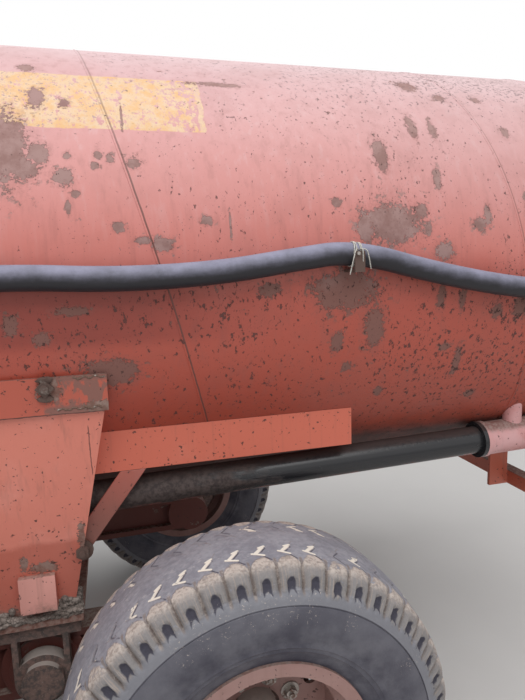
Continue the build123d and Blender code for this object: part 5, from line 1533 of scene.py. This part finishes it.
@dataclass
class Bracket:
    """What is welded, bolted and caked on the plate over the bogie's pivot."""

    side: Side
    strip_top: float = 1.517
    strip_bottom: float = 1.417
    strip_face: float = 0.7528
    lug_place: Spot = (1.076, 1.486)
    foot_bolt: Point = (1.128, 0.650, 0.975)
    plate_top: float = 0.770
    plate_half: float = 0.132
    plate_edge: float = 0.640
    middle_x: float = 0.982
    bead_step: float = 0.0045
    edge_lumps: int = 190
    corner_lumps: int = 120

    def _at(self, x: float, out: float, z: float) -> Vector:
        """A point on this side."""
        return Vector((x, self.side.value * out, z))

    def build_lug(self, steel: Material) -> None:
        """Build the square nut and its lumps on the strip, and the bolt beside the plate's foot.

        Args:
            steel: their material.
        """
        shape = bmesh.new()
        rng = random.Random(11)
        x, z = self.lug_place
        face = self.strip_face
        for rise, height, radius, sides in ((0.004, 0.016, 0.024, 4), (0.006, 0.028, 0.011, 10)):
            foot, head = (self._at(x, face + out, z + rise) for out in (0.0, height))
            add_pin(shape, foot, head, radius, sides)
        for rise in (-0.024, 0.026):
            middle = self._at(x, face + 0.004, z + rise)
            add_lump(shape, middle, Vector((0.022, 0.010, 0.010)), rng)
        add_bolt(shape, self._at(*self.foot_bolt), Y * self.side.value, 0.034)
        settle(f"bracket_fixings.{self.side.word}", shape, steel)

    def build_beads(self, rust: Material) -> None:
        """Build the wavy welds along the strip's right half.

        Args:
            rust: the beads' material.
        """
        shape = bmesh.new()
        rng = random.Random(23)
        lower, upper = self.strip_bottom + 0.012, self.strip_top - 0.005
        for x, end, z in ((1.105, 1.215, lower), (1.150, 1.228, upper)):
            while x < end:
                rise = math.sin(x * 210) * 0.003 + rng.uniform(-0.001, 0.001)
                size = Vector((rng.uniform(0.004, 0.006), 0.004, rng.uniform(0.003, 0.0045)))
                add_lump(shape, self._at(x, self.strip_face - 0.001, z + rise), size, rng, 1)
                x += self.bead_step
        settle(f"strip_welds.{self.side.word}", shape, rust, slot="red_paint", crease=60.0)

    def build_crust(self, mud: Material) -> None:
        """Heap the mud that lies round the plate's foot on the base plate.

        Args:
            mud: its material.
        """
        shape = bmesh.new()
        rng = random.Random(7 + self.side.value)
        edge = self.plate_edge

        def size(*limits: Spot) -> Vector:
            """A lump's half sizes."""
            return Vector([rng.uniform(*limit) for limit in limits])

        for _ in range(self.edge_lumps):
            along = rng.uniform(-1.0, 1.0)
            x = self.middle_x + along * (self.plate_half - 0.010)
            out = rng.uniform(edge - 0.03, edge + 0.002)
            lump = size((0.010, 0.024), (0.008, 0.014), (0.005, 0.011))
            rise = rng.uniform(0.0, 0.018) * (0.3 + abs(along))
            add_lump(shape, self._at(x, out, self.plate_top + rise), lump, rng, 1)
        for _ in range(self.corner_lumps):
            x = self.middle_x + rng.choice((-1.0, 1.0)) * rng.uniform(0.06, 0.124)
            out = rng.uniform(edge - 0.05, edge - 0.005)
            lump = size((0.010, 0.020), (0.008, 0.016), (0.008, 0.020))
            rise = rng.uniform(0.0, 0.055)
            add_lump(shape, self._at(x, out, self.plate_top + rise), lump, rng, 1)
        settle(f"mud_crust.{self.side.word}", shape, mud, slot="cast_iron", crease=60.0)


@dataclass
class FlangeBolts:
    """A ring of bolts on a flange whose axis lies along X."""

    name: str
    middle: Point
    circle: float
    count: int
    across: float
    way: float = -1.0

    def build(self, steel: Material) -> None:
        """Build the ring of bolts.

        Args:
            steel: the bolts' material.
        """
        shape = bmesh.new()
        for way in bolt_ways(self.count, Y, Z):
            foot = Vector(self.middle) + way * self.circle
            add_bolt(shape, foot, X * self.way, self.across)
        settle(self.name, shape, steel)


@dataclass
class LidClamps:
    """The screws with tee bars that hold the manhole's lid down."""

    middle: Point = (-0.318, 0.0, 2.6703)
    circle: float = 0.262
    count: int = 6
    across: float = 0.027
    stem_radius: float = 0.008
    bar_half: float = 0.034
    bar_radius: float = 0.006
    rise: float = 0.030

    def build(self, steel: Material) -> None:
        """Build the screws.

        Args:
            steel: their material.
        """
        shape = bmesh.new()
        for way in bolt_ways(self.count, Y, X):
            foot = Vector(self.middle) + way * self.circle
            bar = Z.cross(way) * self.bar_half
            head = foot + Z * self.rise
            add_bolt(shape, foot, Z, self.across)
            add_pin(shape, foot, head + Z * self.bar_radius, self.stem_radius)
            add_pin(shape, head - bar, head + bar, self.bar_radius)
        settle("lid_clamps", shape, steel, "manhole_lid")


@dataclass
class HookPins:
    """The pin heads on the lips of the hose's hooks."""

    lips: tuple[Point, ...] = (
        (-1.2755, -0.8585, 1.787),
        (-0.1755, -0.8560, 1.793),
        (1.9195, -0.8558, 1.818),
        (2.7745, -0.8558, 1.700),
    )
    radius: float = 0.0048
    length: float = 0.008
    sunk: float = 0.003

    def build(self, steel: Material) -> None:
        """Build the pin heads.

        Args:
            steel: their material.
        """
        shape = bmesh.new()
        for lip in map(Vector, self.lips):
            add_pin(shape, lip + Y * self.sunk, lip - Y * self.length, self.radius)
        settle("hook_pins", shape, steel)


FLANGES = (
    FlangeBolts("pump_cover_bolts", (-2.538, 0.0, 1.148), 0.176, 10, 0.019),
    FlangeBolts("suction_flange_bolts", (-2.402, 0.0, 1.148), 0.0695, 6, 0.014, 1.0),
    FlangeBolts("valve_front_bolts", (3.263, 0.0, 1.1485), 0.079, 8, 0.014),
    FlangeBolts("valve_rear_bolts", (3.359, 0.0, 1.1485), 0.0845, 8, 0.013, 1.0),
)

YELLOW_BAND = Band(-0.72, 1.545, 2.166, 2.340)

# The tank's bare patches, as the photograph shows them: x, z, half length, half height
TANK_STAINS = (
    *((1.02, 2.105, 0.055, 0.095), (1.06, 2.05, 0.045, 0.028), (1.105, 2.09, 0.024, 0.032)),
    *((1.16, 2.03, 0.026, 0.022), (1.175, 2.085, 0.010, 0.009), (1.25, 2.09, 0.011, 0.011)),
    *((1.24, 2.06, 0.011, 0.010), (1.28, 2.08, 0.010, 0.014), (1.34, 2.07, 0.018, 0.015)),
    *((1.19, 1.985, 0.011, 0.009), (1.17, 1.95, 0.006, 0.020), (1.29, 1.90, 0.014, 0.013)),
    *((1.35, 1.865, 0.018, 0.010), (1.40, 1.855, 0.028, 0.017), (1.52, 1.915, 0.018, 0.011)),
    *((1.07, 2.36, 0.020, 0.014), (1.10, 2.255, 0.018, 0.030), (1.17, 2.24, 0.012, 0.014)),
    *((1.318, 2.21, 0.003, 0.036), (1.585, 1.905, 0.003, 0.032), (1.60, 2.335, 0.070, 0.008)),
    *((1.26, 1.515, 0.055, 0.036), (1.22, 1.53, 0.05, 0.02), (1.01, 1.66, 0.018, 0.024)),
    *((1.08, 1.62, 0.02, 0.015), (1.16, 1.69, 0.04, 0.011), (1.69, 1.725, 0.030, 0.020)),
    *((2.075, 1.905, 0.085, 0.058), (1.985, 1.895, 0.024, 0.05), (1.90, 1.965, 0.014, 0.012)),
    *((2.065, 2.11, 0.02, 0.05), (2.20, 2.21, 0.014, 0.036), (2.27, 2.20, 0.012, 0.030)),
    *((2.27, 2.38, 0.035, 0.022), (2.36, 2.33, 0.022, 0.013), (2.50, 2.33, 0.018, 0.011)),
    *((2.54, 2.20, 0.014, 0.017), (2.24, 2.04, 0.012, 0.03), (2.17, 1.94, 0.018, 0.024)),
    *((2.19, 1.885, 0.009, 0.020), (2.24, 1.82, 0.028, 0.028), (2.37, 1.90, 0.022, 0.020)),
    *((2.40, 1.93, 0.012, 0.032), (2.55, 1.93, 0.012, 0.060), (1.915, 1.715, 0.10, 0.052)),
    *((2.02, 1.60, 0.03, 0.06), (1.90, 1.56, 0.02, 0.028), (1.94, 1.48, 0.018, 0.014)),
    *((2.07, 1.38, 0.016, 0.014), (2.235, 1.68, 0.014, 0.035), (2.31, 1.675, 0.012, 0.028)),
    *((2.27, 1.52, 0.022, 0.012), (2.33, 1.47, 0.014, 0.05), (2.44, 1.63, 0.018, 0.025)),
    *((2.53, 1.64, 0.030, 0.040), (2.43, 1.335, 0.02, 0.014)),
)

BRACKET_STAINS = (
    Stain(1.085, 1.486, 0.030, 0.035),
    Stain(1.21, 1.43, 0.050, 0.014),
    Stain(1.015, 0.942, 0.045, 0.020),
    Stain(0.965, 0.96, 0.012, 0.030),
    Stain(1.13, 1.02, 0.012, 0.060),
)

# The width in metres to which the edges of the plate work are rounded
SOFTENED = {
    "saddle": 0.004,
    "braces": 0.0025,
    "side_rail": 0.0025,
    "pivot_block": 0.005,
    "balance_beam": 0.005,
    "drawbar_frame": 0.005,
    "front_cradles": 0.003,
    "lamp_bar": 0.003,
}


class Finishes:
    """Every finish of the trailer, made once."""

    def __init__(self, tank: Tank, shoulder: float) -> None:
        """Make the materials.

        Args:
            tank: the tank, whose welds show in its paint.
            shoulder: the way along a tyre's outline to its wall.
        """
        stains = tuple(Stain(*row) for row in TANK_STAINS)
        self.tank = TankPaint("tank paint", stains, tank.seams, YELLOW_BAND).make()
        self.rail = FramePaint(
            "rail paint",
            fresh=(0.62, 0.148, 0.092),
            faded=(0.64, 0.19, 0.13),
            fading=0.3,
            rusting=0.15,
            dusting=0.5,
        ).make()
        self.brace = FramePaint(
            "brace paint",
            fresh=(0.43, 0.118, 0.088),
            faded=(0.40, 0.145, 0.12),
            fading=0.6,
            rusting=0.35,
            dusting=0.6,
            dull_below=1.12,
            dull_edge=0.11,
            dull=(0.17, 0.085, 0.068),
        ).make()
        self.bracket = FramePaint(
            "bracket paint",
            fresh=(0.70, 0.222, 0.162),
            faded=(0.74, 0.27, 0.21),
            dust=(0.27, 0.195, 0.165),
            fading=0.6,
            rusting=0.1,
            dusting=0.7,
            muddy_below=0.815,
            dull_below=1.022,
            dull_edge=0.014,
            strip_above=1.4165,
            patch=Band(0.946, 1.048, 0.811, 0.923),
            stains=BRACKET_STAINS,
        ).make()
        self.drawbar = FramePaint("drawbar paint", fading=0.35, rusting=0.45, dusting=0.85).make()
        self.dark = FramePaint(
            "dark red paint",
            fresh=(0.15, 0.045, 0.036),
            faded=(0.24, 0.085, 0.07),
            rusting=0.8,
            dusting=0.9,
        ).make()
        self.rim = FramePaint(
            "rim paint",
            fresh=(0.235, 0.120, 0.103),
            faded=(0.31, 0.180, 0.160),
            fading=0.8,
            dusting=0.6,
        ).make()
        self.manifold = FramePaint(
            "faded pipe paint",
            fresh=(0.57, 0.24, 0.225),
            faded=(0.64, 0.36, 0.36),
            fading=0.8,
            rusting=0.1,
        ).make()
        self.pipe = PipePaint("pipe enamel").make()
        self.cast = CastIron("cast iron").make()
        self.steel = BareSteel("bare steel").make()
        self.rusty = BareSteel("rusty steel", browned=0.95).make()
        dark, darker = (0.2, 0.16, 0.14), (0.105, 0.064, 0.052)
        self.dark_steel = BareSteel("dark steel", dark, darker, 0.9).make()
        self.tyre = TyreRubber("tyre rubber", shoulder).make()
        self.hose = HoseRubber("hose rubber").make()
        self.lamp = LampPlastic("lamp plastic").make()
        self.mud = DriedMud("dried mud").make()
        self.twine = Twine("twine").make()

    def for_node(self, node: str) -> Material:
        """The finish of a solid.

        Args:
            node: the solid's name.

        Returns:
            Its material.
        """
        table = {
            ("tank_shell", "front_head", "rear_head", "manhole_neck", "manhole_lid"): self.tank,
            ("side_rail",): self.rail,
            ("braces",): self.brace,
            ("saddle",): self.bracket,
            ("rim",): self.rim,
            ("tyre",): self.tyre,
            ("hub", "stub_axles", "pivot_block", "bogie_shaft"): self.cast,
            ("pump_body", "discharge_valve"): self.cast,
            ("balance_beam",): self.dark,
            ("rear_manifold",): self.manifold,
            ("pressure_pipe",): self.pipe,
            ("suction_hose",): self.hose,
            ("rear_lamps",): self.lamp,
            ("hose_couplings", "tow_eye", "pump_shaft", "level_gauge"): self.steel,
            ("hose_hooks",): self.dark_steel,
        }
        found = (coat for starts, coat in table.items() if node.startswith(starts))
        return next(found, self.drawbar)


def dress_solids(finishes: Finishes) -> None:
    """Give each solid its finish, and round the edges of the plate work.

    Args:
        finishes: the trailer's finishes.
    """
    slots = {part["node"]: part["material_slot"] for part in frame["record"]["subparts"]}
    for node, solid in frame["nodes"].items():
        coat = finishes.for_node(node)
        solid.data.materials.clear()
        solid.data.materials.append(coat)
        for start, width in SOFTENED.items():
            if node.startswith(start):
                soften(node, coat, slots[node], width)
    log.info("dressed %d solids", len(frame["nodes"]))


def main() -> None:
    """Build the scene."""
    logging.basicConfig(level=logging.INFO, format="%(name)s: %(message)s")
    tank = Tank()
    wheels = [Wheel(end, side) for side in Side for end in End]
    Studio().build()
    finishes = Finishes(tank, wheels[0].shoulder_along)
    StowedHose().build(finishes.hose, finishes.twine)
    dress_solids(finishes)
    tank.build(finishes.tank)
    pattern = None
    for wheel in wheels:
        pattern = wheel.build_tyre(finishes.tyre, pattern)
        wheel.build_nuts(finishes.steel)
    bpy.data.meshes.remove(pattern)
    for flange in FLANGES:
        flange.build(finishes.rusty)
    LidClamps().build(finishes.rusty)
    HookPins().build(finishes.steel)
    for side in Side:
        bracket = Bracket(side)
        bracket.build_lug(finishes.dark_steel)
        bracket.build_beads(finishes.rusty)
        bracket.build_crust(finishes.mud)


if __name__ == "__main__":
    main()
